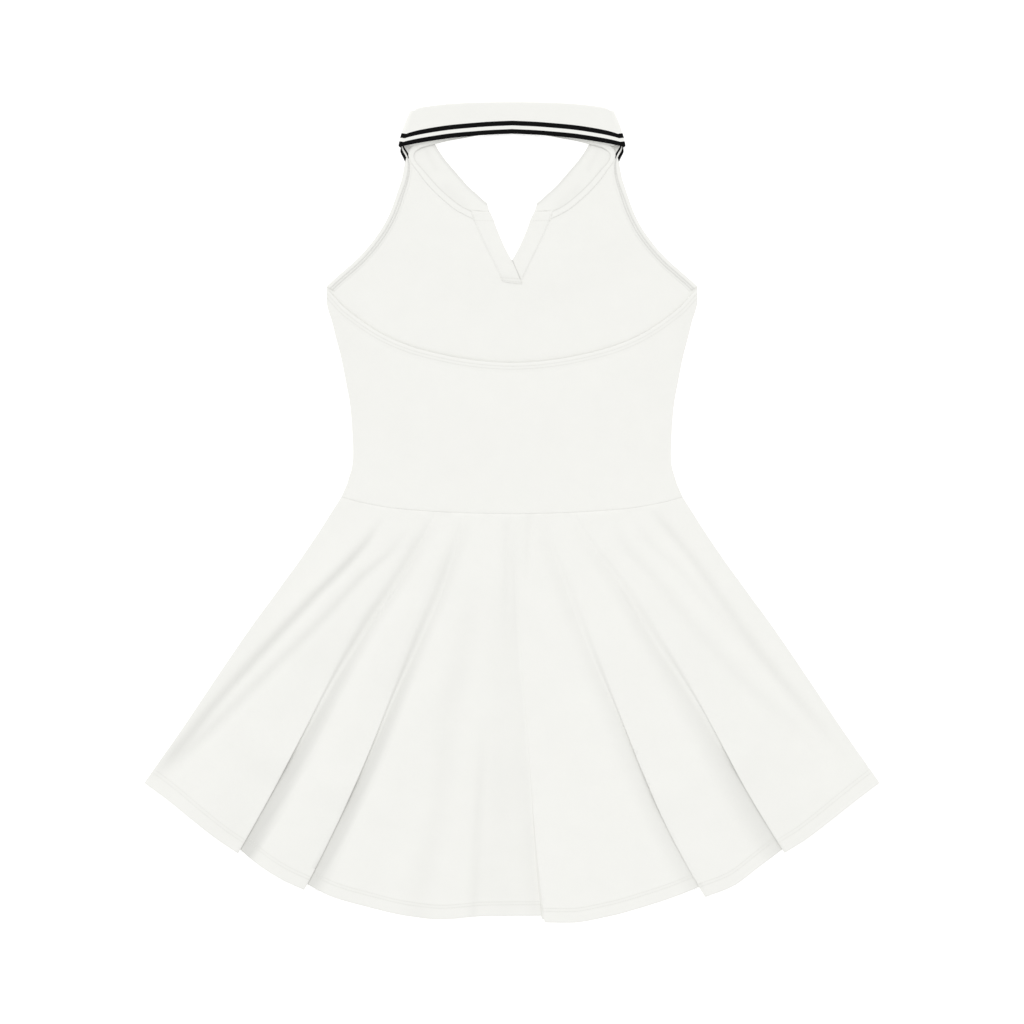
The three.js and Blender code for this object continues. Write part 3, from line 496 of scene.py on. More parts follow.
class Sheet:
    """A cloth piece's middle surface as grids of points, with marks that its finish reads."""

    def __init__(self):
        self.points = []
        self.faces = []
        self.coords = []
        self.marks = {}

    def add(self, points, coords, **marks):
        start = len(self.points)
        rows, columns = points.shape[:2]
        self.points.extend(points.reshape(-1, 3))
        self.coords.extend(np.stack(coords, axis=-1).reshape(-1, 2))
        for name, values in marks.items():
            self.marks.setdefault(name, []).extend(np.broadcast_to(values, (rows, columns)).ravel())
        index = start + np.arange(rows * columns).reshape(rows, columns)
        quads = np.stack([index[:-1, :-1], index[1:, :-1], index[1:, 1:], index[:-1, 1:]], axis=-1)
        self.faces.extend(quads.reshape(-1, 4).tolist())
        return self

    def build(self, name, node, wall, material, round_edge=ROUND_EDGE, slot="body_knit"):
        """Makes the piece with its wall, in place of a node of the frame."""
        mesh = bpy.data.meshes.new(name)
        mesh.from_pydata((np.array(self.points) * MM).tolist(), [], self.faces)
        coords = np.array(self.coords) * MM
        corners = np.empty(len(mesh.loops), dtype=np.int32)
        mesh.loops.foreach_get("vertex_index", corners)
        layer = mesh.uv_layers.new(name="cloth")
        layer.data.foreach_set("uv", coords[corners].astype(np.float32).ravel())
        for mark, values in self.marks.items():
            attribute = mesh.attributes.new(mark, "FLOAT", "POINT")
            attribute.data.foreach_set("value", (np.array(values) * MM).astype(np.float32))
        weld(mesh)
        mesh.materials.append(material)
        piece = in_scene(name, mesh)
        solidify = piece.modifiers.new("wall", "SOLIDIFY")
        solidify.thickness = wall * MM
        solidify.offset = 0
        if "wall_share" in self.marks:
            group = piece.vertex_groups.new(name="wall share")
            for vertex, mark in zip(mesh.vertices, mesh.attributes["wall_share"].data):
                group.add([vertex.index], mark.value / MM, "REPLACE")
            solidify.vertex_group = group.name
        bevel = piece.modifiers.new("round edge", "BEVEL")
        bevel.width = round_edge * MM
        bevel.segments = 2
        bevel.limit_method = "ANGLE"
        bevel.angle_limit = math.radians(EDGE_ANGLE)
        return finish_piece(apply_modifiers(piece), slot, node)


def weld(mesh):
    """Joins the grids of a sheet where they share an edge."""
    work = bmesh.new()
    work.from_mesh(mesh)
    bmesh.ops.remove_doubles(work, verts=work.verts, dist=WELD * MM)
    bmesh.ops.dissolve_degenerate(work, edges=work.edges, dist=WELD / 2 * MM)
    work.to_mesh(mesh)
    work.free()


def apply_modifiers(piece):
    bpy.context.view_layer.update()
    graph = bpy.context.evaluated_depsgraph_get()
    mesh = bpy.data.meshes.new_from_object(piece.evaluated_get(graph), depsgraph=graph)
    mesh.name = piece.name
    old = piece.data
    piece.modifiers.clear()
    piece.data = mesh
    bpy.data.meshes.remove(old)
    mesh.shade_smooth()
    return piece


def in_scene(name, data):
    """A new object with this mesh, light or camera."""
    made = bpy.data.objects.new(name, data)
    bpy.context.scene.collection.objects.link(made)
    return made


def finish_piece(piece, slot, *nodes):
    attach(piece, "root")
    if nodes:
        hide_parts(*nodes)
    return piece


# Shader maths


class Value:
    """A socket with arithmetic: an expression on values adds its Math nodes."""

    def __init__(self, finish, socket):
        self.finish = finish
        self.socket = socket

    def math(self, operation, *others):
        return self.finish.math(operation, self, *others)

    def __add__(self, other):
        return self.math("ADD", other)

    __radd__ = __add__

    def __sub__(self, other):
        return self.math("SUBTRACT", other)

    def __rsub__(self, other):
        return self.finish.math("SUBTRACT", other, self)

    def __mul__(self, other):
        return self.math("MULTIPLY", other)

    __rmul__ = __mul__

    def __truediv__(self, other):
        return self.math("DIVIDE", other)

    def __abs__(self):
        return self.math("ABSOLUTE")

    def ridge(self):
        """Falls from one to nothing and back between one whole number and the next."""
        return abs(self.math("FRACT") - 0.5) * 2

    def sine(self):
        return self.math("SINE")

    def line(self, place, half):
        """One on a line at this place, falling to nothing at half its width."""
        return (1 - abs(self - place) / half).math("MAXIMUM", 0.0)


def add_node(tree, kind, settings, sockets):
    """Adds a node, with its settings first and then its sockets' values or links."""
    made = tree.nodes.new(kind)
    for name, value in settings.items():
        setattr(made, name, value)
    for name, value in sockets.items():
        put(tree, made.inputs[name], value)
    return made


def put(tree, socket, value):
    if isinstance(value, Value):
        value = value.socket
    if isinstance(value, bpy.types.NodeSocket):
        tree.links.new(value, socket)
    else:
        socket.default_value = value


class Finish:
    """A material under construction."""

    def __init__(self, name):
        self.material = bpy.data.materials.new(name)
        self.material.use_nodes = True
        self.colours = bpy.context.scene.dress_colours
        self.tree = self.material.node_tree
        self.tree.nodes.clear()
        self.shader = self.tree.nodes.new("ShaderNodeBsdfPrincipled")
        output = self.tree.nodes.new("ShaderNodeOutputMaterial")
        self.tree.links.new(self.shader.outputs[0], output.inputs["Surface"])

    def node(self, kind, settings, sockets, output=0):
        return Value(self, add_node(self.tree, kind, settings, sockets).outputs[output])

    def math(self, operation, *values):
        return self.node("ShaderNodeMath", {"operation": operation}, dict(enumerate(values)))

    def mark(self, name):
        return self.node("ShaderNodeAttribute", {"attribute_name": name}, {}, "Fac")

    def cloth(self):
        """The piece's cloth coordinates in metres."""
        coords = self.node("ShaderNodeUVMap", {"uv_map": "cloth"}, {})
        split = self.node("ShaderNodeSeparateXYZ", {}, {0: coords})
        return Value(self, split.socket.node.outputs["X"]), Value(self, split.socket.node.outputs["Y"])

    def noise(self, scale, detail, rough):
        place = self.node("ShaderNodeTexCoord", {}, {}, "Object")
        sockets = {"Vector": place, "Scale": scale, "Detail": detail, "Roughness": rough}
        return self.node("ShaderNodeTexNoise", {}, sockets, "Fac")

    def blend(self, share, first, second):
        return self.node("ShaderNodeMix", {"data_type": "RGBA"}, {0: share, 6: first, 7: second}, 2)

    def bump(self, height, distance, strength, below=None):
        sockets = {"Height": height, "Distance": distance, "Strength": strength}
        if below is not None:
            sockets["Normal"] = below
        return self.node("ShaderNodeBump", {}, sockets)

    def white(self, share):
        return self.blend(share, colour(self.colours.cloth), colour(self.colours.cloth_shade))

    def shaded(self, share, base):
        """A colour, darkened by this share towards the colour of painted shade."""
        return self.blend(share, base, colour(self.colours.painted_shade_colour))

    def set(self, sockets):
        for name, value in sockets.items():
            put(self.tree, self.shader.inputs[name], value)
        return self.material


def colour(values):
    return (*values, 1.0)


def knit_height(finish, wale, course):
    """The height of plain knit stitches: pairs of legs that lean together in columns."""
    across, down = finish.cloth()
    leg = (across / wale).ridge()
    yarn = ((down / course + leg * 0.55).math("FRACT") * math.pi).sine()
    return yarn * (0.35 + 0.65 * (leg * math.pi).sine())


def knit_finish(name, sewn, painted_shade=False):
    """Fine plain knit. sewn gives for each mark the place, half width and depth of its grooves, which a bump
    presses in and painted shade darkens; when the piece's painted shade mark is asked for, that darkens it
    too.
    """
    finish = Finish(name)
    knit = knit_height(finish, *KNIT)
    fuzz = finish.noise(900.0, 3.0, 0.6)
    uneven = finish.noise(38.0, 3.0, 0.55)
    groove_and_shade = None
    for mark, rows in sewn.items():
        distance = finish.mark(mark)
        for place, half, depth in rows:
            row = finish.math("SMOOTH_MIN", distance.line(place * MM, half * MM), 1.0, 0.1) * depth
            groove_and_shade = row if groove_and_shade is None else groove_and_shade + row
    base = finish.white(uneven * 0.5 + fuzz * 0.5)
    normal = finish.bump(knit, 0.0001, 0.55)
    normal = finish.bump(uneven, 0.0008, 0.35, normal)
    if groove_and_shade is not None:
        # painted shade in the grooves, and where asked, in the creases and under the folds
        shade = groove_and_shade + finish.mark("painted_shade") / MM if painted_shade else groove_and_shade
        base = finish.shaded(shade, base)
        normal = finish.bump(1 - groove_and_shade, 0.0006, 0.9, normal)
    return finish.set({
        "Base Color": base, "Normal": normal, "Roughness": 0.86 + fuzz * 0.1,
        "Specular IOR Level": 0.18, "Sheen Weight": 0.12, "Sheen Roughness": 0.5,
    })


def collar_finish(name, stripes):
    """Flat rib with tipping stripes at set distances from the edge of the fall."""
    finish = Finish(name)
    across, _ = finish.cloth()
    length, height = STRIPE_WANDER
    place = finish.mark("from_edge") + (across * (math.tau / length)).sine() * height
    black = None
    for low, high in stripes:
        middle, half = (low + high) / 2 * MM, (high - low) / 2 * MM
        inside = (half - abs(place - middle)) / STRIPE_SOFT + 0.5
        inside = inside.math("MAXIMUM", 0.0).math("MINIMUM", 1.0)
        black = inside if black is None else black + inside
    fuzz = finish.noise(1100.0, 3.0, 0.6)
    uneven = finish.noise(45.0, 3.0, 0.5)
    white = finish.white(uneven * 0.5 + fuzz * 0.5)
    # painted shade along the neck opening and in the soft creases of the front parts
    white = finish.shaded(finish.mark("painted_shade") / MM, white)
    stripe = finish.blend(fuzz, colour(finish.colours.stripe), colour(finish.colours.stripe_light))
    rib = ((across / RIB[0]).ridge() * math.pi).sine()
    normal = finish.bump(rib * 0.6 + knit_height(finish, *RIB) * 0.4, 0.00016, 0.5)
    normal = finish.bump(uneven, 0.0007, 0.35, normal)
    return finish.set({
        "Base Color": finish.blend(black, white, stripe), "Normal": normal,
        "Roughness": 0.88 + fuzz * 0.08, "Specular IOR Level": 0.05,
    })


def tape_finish(name):
    """Fine woven tape with slanting twill lines."""
    finish = Finish(name)
    across, down = finish.cloth()
    threads = (((across + down * 0.8) / TWILL).ridge() * (math.pi / 2)).sine()
    fuzz = finish.noise(800.0, 2.0, 0.5)
    base = finish.white(threads * 0.4 + fuzz * 0.4)
    # painted shadow along the tape's inner edge, where the collar's stand lies over it
    return finish.set({
        "Base Color": finish.shaded(finish.mark("painted_shade") / MM, base),
        "Normal": finish.bump(threads, 0.00012, 0.5), "Roughness": 0.84 + fuzz * 0.1,
        "Specular IOR Level": 0.2,
    })


def thread_finish(name):
    """Spun sewing thread."""
    finish = Finish(name)
    shade = finish.colours.thread
    fuzz = finish.noise(2500.0, 2.0, 0.5)
    return finish.set({
        "Base Color": finish.blend(fuzz, colour(shade), colour([value * 0.93 for value in shade])),
        "Normal": finish.bump(fuzz, 0.0001, 0.4), "Roughness": 0.7 + fuzz * 0.1, "Specular IOR Level": 0.3,
    })


# Properties


def colour_choice(name, use, *default):
    return bpy.props.FloatVectorProperty(name=name, description=use, subtype="COLOR", size=3, default=default)


def length_choice(name, use, default):
    return bpy.props.FloatProperty(name=name, description=use, default=default, unit="LENGTH")


def angle_choice(name, use, degrees):
    return bpy.props.FloatProperty(name=name, description=use, default=math.radians(degrees), subtype="ANGLE")


def number_choice(name, use, default):
    return bpy.props.FloatProperty(name=name, description=use, default=default)


class DressColours(bpy.types.PropertyGroup):
    """Colours of the cloth, the stripes and the thread."""

    cloth: colour_choice("Cloth", "The white of the knit", 0.845, 0.845, 0.812)
    cloth_shade: colour_choice("Cloth shade", "The same in the hollows of the knit", 0.8, 0.8, 0.768)
    # The colour of painted shade, in grooves by the stitches, in creases, under folds and along edges
    painted_shade_colour: colour_choice("Sewn shade", "The same in a groove by a thread", 0.56, 0.56, 0.535)
    stripe: colour_choice("Stripe", "The black of the tipping stripes", 0.003, 0.003, 0.003)
    stripe_light: colour_choice("Stripe, lit", "The black where it catches light", 0.007, 0.007, 0.0075)
    thread: colour_choice("Thread", "The sewing thread", 0.8, 0.8, 0.768)
    floor: colour_choice("Floor", "The pale floor", 0.955, 0.955, 0.955)


class SewingSizes(bpy.types.PropertyGroup):
    """Sizes of the stitch rows."""

    stitch: length_choice("Stitch", "Length of the thread that shows in one stitch", 0.0021)
    pitch: length_choice("Pitch", "Distance from one stitch to the next", 0.0027)
    thread: length_choice("Thread width", "Width of the sewing thread", 0.0005)
    hem_near: length_choice("Hem row 1", "The hem's lower stitch row, from its edge", 0.0118)
    hem_far: length_choice("Hem row 2", "The hem's upper stitch row, from its edge", 0.0149)
    scoop_near: length_choice("Scoop row 1", "The scoop's first stitch row, from its edge", 0.0036)
    scoop_far: length_choice("Scoop row 2", "The scoop's second stitch row, from its edge", 0.0067)


class StageSizes(bpy.types.PropertyGroup):
    """The floor, the light and the camera."""

    view: length_choice("View", "Width of the picture at the dress", 1.0752)
    lens: number_choice("Lens", "Focal length of the camera, in mm", 120.0)
    sky: number_choice("Sky", "Strength of the even light all round", 0.92)
    key: number_choice("Key", "Strength of the wide soft light from the far side", 0.94)
    key_spread: angle_choice("Key spread", "How wide that light is", 40)
    key_height: angle_choice("Key height", "Its angle above the floor", 42)
    key_side: angle_choice("Key side", "Its angle from the right, turned over the top", 98)
    floor_glow: number_choice("Floor glow", "Light from the floor itself, as on a light table", 0.35)


# Surfaces of the pieces


def front_bodice_grid(rows_between, columns):
    """The front's left half, from its outer edge to its inner edge."""
    count = len(FRONT["side"])
    at = np.linspace(0, count - 1, (count - 1) * rows_between + 1)
    inner_x, inner_y, side = (np.interp(at, np.arange(count), FRONT[name]) for name in FRONT)
    share = np.linspace(0, 1, columns)[None, :]
    x = mix(-half_width(side)[:, None], inner_x[:, None], share)
    y = mix(side[:, None], inner_y[:, None], share)
    waist_x = mix(-WAIST_HALF, 0, share)
    waist_y = waist_up(waist_x) + SEAM_GAP / 2
    steps = np.linspace(0, 1, 2 * rows_between + 1)[1:, None]
    x = np.concatenate([x, mix(x[-1:], waist_x, steps)])
    y = np.concatenate([y, mix(y[-1:], waist_y, steps)])
    return np.stack([x, y, front_level(x, y) + WALL / 2], axis=-1)


def back_bodice_grid(rows, columns):
    down = rows[:, None]
    side = columns[None, :]
    x = side * half_width(mix(UNDERARM, waist_up(WAIST_HALF), down))
    top = scoop_up(side * half_width(UNDERARM))
    bottom = waist_up(side * WAIST_HALF) + SEAM_GAP / 2
    y = mix(top, bottom, down)
    swell = mix(SCOOP_LOFT_SHARE, 1, np.sin(np.pi * down)) * (1 - down) * BODICE_LOFT
    lift = swell * (1 - side ** 4) + down * seam_lift(side * WAIST_HALF)
    from_scoop = (top - y) * np.cos(np.arctan(np.abs(np.gradient(top[0], x[0]))))[None, :]
    from_waist = y - bottom
    lift = lift + turned_step(from_scoop, *SCOOP_STEP) - seam_dip(SEAM_DIP["bodice"], from_waist)
    lift = lift + panel_waves(x, y, from_waist, *BODICE_WAVES)
    z = on_bed(BACK_LEVEL + lift, (1 - np.abs(side)) * WAIST_HALF)
    return np.stack([x, y, z], axis=-1), from_scoop, from_waist


def creases(share, down, width):
    """The soft creases' height, and how much painted shade darkens each point in them."""
    height, painted_shade = np.zeros_like(share), np.zeros_like(share)
    for places, depth, shade_strength, half, (start, full, fade, end) in CREASES:
        grown = smooth_step(start, full, down) * (1 - smooth_step(fade, end, down))
        middle = Curve(CREASE_DOWN, np.broadcast_to(places, len(CREASE_DOWN)))(down)
        away = (share - middle) * width / half
        dip = grown * np.exp(-away * away)
        height -= depth * dip
        painted_shade += shade_strength * dip
    return height, painted_shade


FOOT_CURVES = {name: Curve(FOOT["down"], FOOT[name]) for name in FOOT if name != "down"}
FOLD_CURVES = {name: Curve(FOLD_LINES["down"], FOLD_LINES[name]) for name, _, _ in FOLDS}
GROWTH_CURVES = {name: Curve(FOLD_GROWTH["down"], FOLD_GROWTH[name]) for name in ("turn", "radius", "lap")}
HEM_CURVES = [Curve(panel["share"], panel["up"]) for panel in HEM]


def fold_points(name, over, strength, down, width, steps):
    """One fold's two bends as points of the section, from its left to its right."""
    middle = FOLD_CURVES[name](down) * width
    turn, radius, lap = (float(GROWTH_CURVES[part](down)) for part in ("turn", "radius", "lap"))
    turn, lap = math.radians(turn * strength), lap * strength
    drop = 2 * radius * (1 - math.cos(turn)) + lap * math.sin(turn)
    angle = turn * np.linspace(0, 1, steps + 1)
    out = radius * np.sin(angle) - radius * math.sin(min(turn, math.pi / 2))
    rise = drop - radius * (1 - np.cos(angle))
    centre_out = out[-1] + lap * math.cos(turn) + radius * math.sin(turn)
    centre_rise = rise[-1] - lap * math.sin(turn) + radius * math.cos(turn)
    out = np.concatenate([out, centre_out - radius * np.sin(angle[::-1])])
    rise = np.concatenate([rise, centre_rise - radius * np.cos(angle[::-1])])
    part = np.linspace(0, 1, len(out))
    if over == "right":
        out, rise, part = -out[::-1], rise[::-1], 1 - part[::-1]
    return {
        "across": middle + out, "rise": rise, "part": part, "over": over, "drop": drop,
        "reach": lap + 2 * radius, "edge": middle, "foot": float(FOOT_CURVES[name](down)),
    }


def skirt_half(down):
    """Half the skirt's width at a share of the way down."""
    return mix(WAIST_HALF, HEM_HALF, down) - Curve(SIDE_BOW["down"], SIDE_BOW["inward"])(down)


def bed_level(share):
    return BACK_LEVEL + seam_lift((2 * share - 1) * WAIST_HALF)


def off_bed(level, down):
    """Keeps the cloth off what it lies on, coming down to it softly where the folds are still low."""
    above = level - BACK_LEVEL
    soft = BED_EASE * (1 - smooth_step(*BED_FREE, down))
    return BACK_LEVEL + (above + np.sqrt(above * above + soft * soft)) / 2


def fold_foot(fold, side, place, ease):
    """How far the cloth beside a fold's foot rises, and how much painted shade darkens it there."""
    outwards = np.where((place > fold["edge"]) == (side == "left"), 1, -1)
    beyond = np.abs(place - fold["edge"]) * outwards
    run = smooth_step(0, FOOT_RUN, beyond) * (1 - smooth_step(FOOT_TOP, FOOT_TOP + ease, beyond))
    shade = FOOT_PAINTED_SHADE * fold["foot"] * (1 - smooth_step(*FOOT_PAINTED_SHADE_RUN[side], beyond))
    return FOOT_RISE * fold["foot"] * run, shade


def skirt_section(down, panel_steps, fold_steps):
    """One section across the back skirt: places, levels, panels, shares of the way to the next, painted
    shade.
    """
    width = 2 * mix(WAIST_HALF, HEM_HALF, down)
    folds = [fold_points(*fold, down, width, fold_steps) for fold in FOLDS]
    section = []

    def add(place, height, panel, part, shade):
        level = off_bed(bed_level(place / width) + height, down)
        section.append((place, level, np.full(len(place), panel), part, shade))

    for panel, (before, after) in enumerate(zip([None, *folds], [*folds, None])):
        start = before["across"][-1] if before else 0.0
        end = after["across"][0] if after else width
        share_in = np.linspace(0, 1, panel_steps[panel] + 1)
        share_in = share_in[(1 if before else 0):(-1 if after else None)]
        place = mix(start, end, share_in)
        ease = min(FOLD_EASE, (end - start) * FOLD_EASE_SHARE)
        height = PANEL_LOFT[panel] * smooth_step(0, FULL_DOWN, down) * np.sin(np.pi * share_in) ** 2
        dips, shade = creases(place / width, down, width)
        height = height + dips
        for fold, over, away in ((after, "left", end - place), (before, "right", place - start)):
            if fold and fold["over"] == over:
                height += fold["drop"] * (1 - smooth_step(fold["reach"], fold["reach"] + ease, away))
        for fold, side in ((before, "left"), (after, "right")):
            if fold and fold["over"] == side:
                raised, dark = fold_foot(fold, side, place, ease)
                height, shade = height + raised, shade + dark
        add(place, height, panel, np.zeros(len(place)), shade)
        if after:
            dips, shade = creases(after["across"] / width, down, width)
            add(after["across"], after["rise"] + dips, panel, after["part"], shade)
    return (*(np.concatenate(values) for values in zip(*section)), width)


def skirt_points(down, panel_steps, fold_steps):
    across, level, panels, part, painted_shade, width = skirt_section(down, panel_steps, fold_steps)
    share = across / width
    hems = np.array([curve(share) for curve in HEM_CURVES])
    here = hems[panels, np.arange(len(share))]
    beyond = hems[np.minimum(panels + 1, len(HEM) - 1), np.arange(len(share))]
    hem = mix(here, beyond, part)
    x = mix(-WAIST_HALF, WAIST_HALF, share)
    low = mix(-HEM_HALF, HEM_HALF, share)
    top = waist_up(x) - SEAM_GAP / 2
    bowed = mix(x, low, down) * skirt_half(down) / mix(WAIST_HALF, HEM_HALF, down)
    return np.stack([bowed, mix(top, hem, down), level], axis=-1), top - hem, painted_shade


def skirt_surface(rows, panel_steps, fold_steps):
    sections = zip(*(skirt_points(down, panel_steps, fold_steps) for down in rows))
    points, lengths, painted_shade = (np.array(values) for values in sections)
    down = np.asarray(rows)[:, None]
    from_hem = (1 - down) * lengths
    from_waist = down * lengths
    x, y, z = np.moveaxis(points, -1, 0)
    edge = HEM_HALF * np.minimum(1, 1 - np.abs(x) / skirt_half(down))
    raised = panel_waves(x, y, from_waist, *SKIRT_WAVES) + turned_step(from_hem, *HEM_STEP)
    z = z - seam_dip(SEAM_DIP["skirt"], from_waist) + raised * smooth_step(0, HEM_FLAT, edge)
    points[..., 2] = on_bed(z, edge)
    return points, from_hem, from_waist, painted_shade


def collar_surface(stations, fall_steps, roll_steps, stand_steps):
    """The left half of the collar's middle surface, from the middle of the back to the front end."""
    curves = {name: ordered(COLLAR, name) for name in COLLAR}
    row = {name: curve(stations) for name, curve in curves.items()}
    turn = np.pi * np.clip(stations - TURN_ROW, 0, 1)
    roll = np.stack([row["roll_x"], row["roll_y"]], axis=-1)
    fall_way = np.stack([row["fall_x"], row["fall_y"]], axis=-1) - roll
    stand_way = np.stack([row["stand_x"], row["stand_y"]], axis=-1) - roll
    fall_length = np.linalg.norm(fall_way, axis=-1)
    stand_length = np.linalg.norm(stand_way, axis=-1)
    fall_way, stand_way = unit(fall_way), unit(stand_way)
    crease = np.array([COLLAR[f"fall_{axis}"][TURN_ROW] - COLLAR[f"roll_{axis}"][TURN_ROW] for axis in "xy"])
    crease = unit(crease)
    side_way = np.array([crease[1], -crease[0]])
    sag = np.where(stations < TURN_ROW, collar_sag(row["roll_x"]), 0)
    roll_in = COLLAR_FOLD + WALL / 2

    def place(way, distance, layer):
        arm = COLLAR_TURN + layer
        bow = COLLAR_BOW * np.sin(np.pi * distance / fall_length)
        flat = roll + way * distance[:, None] + side_way * ((arm + bow) * np.sin(turn))[:, None]
        height = COLLAR_TURN_HEIGHT + arm * np.cos(turn) - sag
        return np.concatenate([flat, height[:, None]], axis=-1)

    lines = []
    for k in range(fall_steps):
        lines.append(place(fall_way, mix(fall_length, roll_in, k / fall_steps), COLLAR_FOLD))
    for k in range(roll_steps + 1):
        angle = math.pi * k / roll_steps
        way = unit(mix(fall_way, stand_way, k / roll_steps))
        distance = np.full(len(stations), roll_in - COLLAR_FOLD * math.sin(angle))
        lines.append(place(way, distance, COLLAR_FOLD * math.cos(angle)))
    for k in range(1, stand_steps + 1):
        lines.append(place(stand_way, mix(roll_in, stand_length, k / stand_steps), -COLLAR_FOLD))
    return np.stack(lines, axis=1)


def collar_painted_shade(points, front):
    """How much painted shade darkens the collar's front parts along the neck opening and in their soft
    creases.
    """
    x, y = -np.abs(points[..., 0]), points[..., 1]
    shade = NECK_PAINTED_SHADE * np.exp(-((roll_distance(x, y) / NECK_PAINTED_SHADE_HALF) ** 2))
    for from_x, from_y, to_x, to_y, half, shade_strength in zip(*COLLAR_SHADES.values()):
        way = np.array([to_x - from_x, to_y - from_y])
        share = np.clip(((x - from_x) * way[0] + (y - from_y) * way[1]) / (way @ way), 0, 1)
        away = np.hypot(x - from_x - share * way[0], y - from_y - share * way[1]) / half
        shade = shade + shade_strength * np.exp(-away * away)
    return shade * front


def mirrored(points):
    return points * np.array([-1, 1, 1])


def other_side(points, *marks):
    """A left grid and its marks turned into the right ones."""
    return (mirrored(points)[:, ::-1], *(mark[:, ::-1] for mark in marks))


def tape_path(steps):
    at = np.linspace(0, len(TAPE["x"]) - 1, steps)
    x, y = ordered(TAPE, "x")(at), ordered(TAPE, "y")(at)
    lowered = smooth_step(TAPE_BACK_ROWS, TAPE_BACK_ROWS + TAPE_TURN_ROWS, at)
    height = mix(TAPE_HEIGHT, TAPE_FRONT_HEIGHT, lowered)
    height = height - np.where(at <= TAPE_BACK_ROWS, collar_sag(x), 0)
    left = np.stack([x, y, height], axis=-1)
    half = ordered(TAPE, "half")(at)
    return np.concatenate([left[::-1], mirrored(left)[1:]]), np.concatenate([half[::-1], half[1:]])


def ribbon(path, half, shares):
    """Lines beside a path, at shares of its half width to its left."""
    way = unit(np.gradient(path, axis=0) * np.array([1, 1, 0]))
    side = np.stack([-way[:, 1], way[:, 0], np.zeros(len(way))], axis=-1) * half[:, None]
    lines = path[:, None, :] + side[:, None, :] * np.asarray(shares)[None, :, None]
    longer = TAPE_END_SLANT * (1 + np.asarray(shares))[:, None] / 2
    lines[0] -= way[0] * longer
    lines[-1] += way[-1] * longer
    return lines


def trim_middle(x, y, share=1.0):
    """The middle of a trim on the front, where its wall has this share of its thickness."""
    return front_level(x, y) + WALL + TRIM_GAP + TRIM_WALL * share / 2


def placket_grid(end, lift, rows, columns):
    """The placket facing's left strip, from its outer to its inner edge."""
    count = len(PLACKET["outer_x"])
    at = np.linspace(0, count, rows)
    lines = [
        Curve(np.arange(count + 1), [*PLACKET[name], last])(at)[:, None] for name, last in zip(PLACKET, end)
    ]
    outer_x, outer_y, inner_x, inner_y = lines
    share = np.linspace(0, 1, columns)[None, :]
    x, y = mix(outer_x, inner_x, share), mix(outer_y, inner_y, share)
    pressed = smooth_step(0, PLACKET_END, count - at)[:, None]
    raised = lift * (1 - smooth_step(PLACKET_LIFT_FULL, PLACKET_LIFT_TOP, y))
    raised = raised * smooth_step(0, PLACKET_RISE, share) * mix(PLACKET_PRESS[0], 1, pressed)
    thin = mix(TRIM_THIN, 1, smooth_step(0, 0.1, share)) * mix(PLACKET_PRESS[1], 1, pressed)
    return np.stack([x, y, trim_middle(x, y, thin) + raised], axis=-1), thin


def armhole_grid(rows, shares):
    """The left armhole band from the outline inwards: its points, the distance from its edge and its wall."""
    up = np.linspace(BAND["up"].max(), BAND["up"].min(), rows)
    way = unit(np.stack([half_width(up + 1) - half_width(up - 1), np.full(rows, -2.0)], axis=-1))
    width = Curve(BAND["up"], BAND["width"])(up)[:, None]
    inward = width * shares
    x = -half_width(up)[:, None] - way[:, 1:] * inward
    y = up[:, None] + way[:, :1] * inward
    thin = mix(1, TRIM_THIN, smooth_step(-BAND_STEP, 0, inward - width))
    return np.stack([x, y, trim_middle(x, y, thin)], axis=-1), inward, thin


# Stitches


def stitch_tree():
    """A node tree that lays stitches along lines, each turned to the line and to the cloth."""
    tree = bpy.data.node_groups.new("stitch rows", "GeometryNodeTree")
    face = tree.interface
    face.new_socket("Geometry", in_out="INPUT", socket_type="NodeSocketGeometry")
    for name in ("Pitch", "Stitch Length", "Thread Width", "Thread Height"):
        face.new_socket(name, in_out="INPUT", socket_type="NodeSocketFloat")
    face.new_socket("Thread", in_out="INPUT", socket_type="NodeSocketMaterial")
    face.new_socket("Geometry", in_out="OUTPUT", socket_type="NodeSocketGeometry")

    def node(kind, settings, sockets):
        return add_node(tree, kind, settings, sockets).outputs[0]

    given = tree.nodes.new("NodeGroupInput").outputs
    curve = node("GeometryNodeMeshToCurve", {}, {0: given["Geometry"]})
    points = node("GeometryNodeResampleCurve", {"mode": "LENGTH"}, {"Curve": curve, "Length": given["Pitch"]})
    outward = node("GeometryNodeInputNamedAttribute", {"data_type": "FLOAT_VECTOR"}, {"Name": "outward"})
    tangent = node("GeometryNodeInputTangent", {}, {})
    along = node("FunctionNodeAlignRotationToVector", {"axis": "X"}, {"Vector": tangent})
    turned = node(
        "FunctionNodeAlignRotationToVector", {"axis": "Z", "pivot_axis": "X"},
        {"Rotation": along, "Vector": outward},
    )
    ball = node("GeometryNodeMeshUVSphere", {}, {"Segments": 8, "Rings": 5, "Radius": 0.5})
    sizes = {"X": given["Stitch Length"], "Y": given["Thread Width"], "Z": given["Thread Height"]}
    size = node("ShaderNodeCombineXYZ", {}, sizes)
    laid = node(
        "GeometryNodeInstanceOnPoints", {},
        {"Points": points, "Instance": ball, "Rotation": turned, "Scale": size},
    )
    smooth = node("GeometryNodeSetShadeSmooth", {}, {0: node("GeometryNodeRealizeInstances", {}, {0: laid})})
    painted = node("GeometryNodeSetMaterial", {}, {0: smooth, "Material": given["Thread"]})
    tree.links.new(painted, tree.nodes.new("NodeGroupOutput").inputs[0])
    return tree


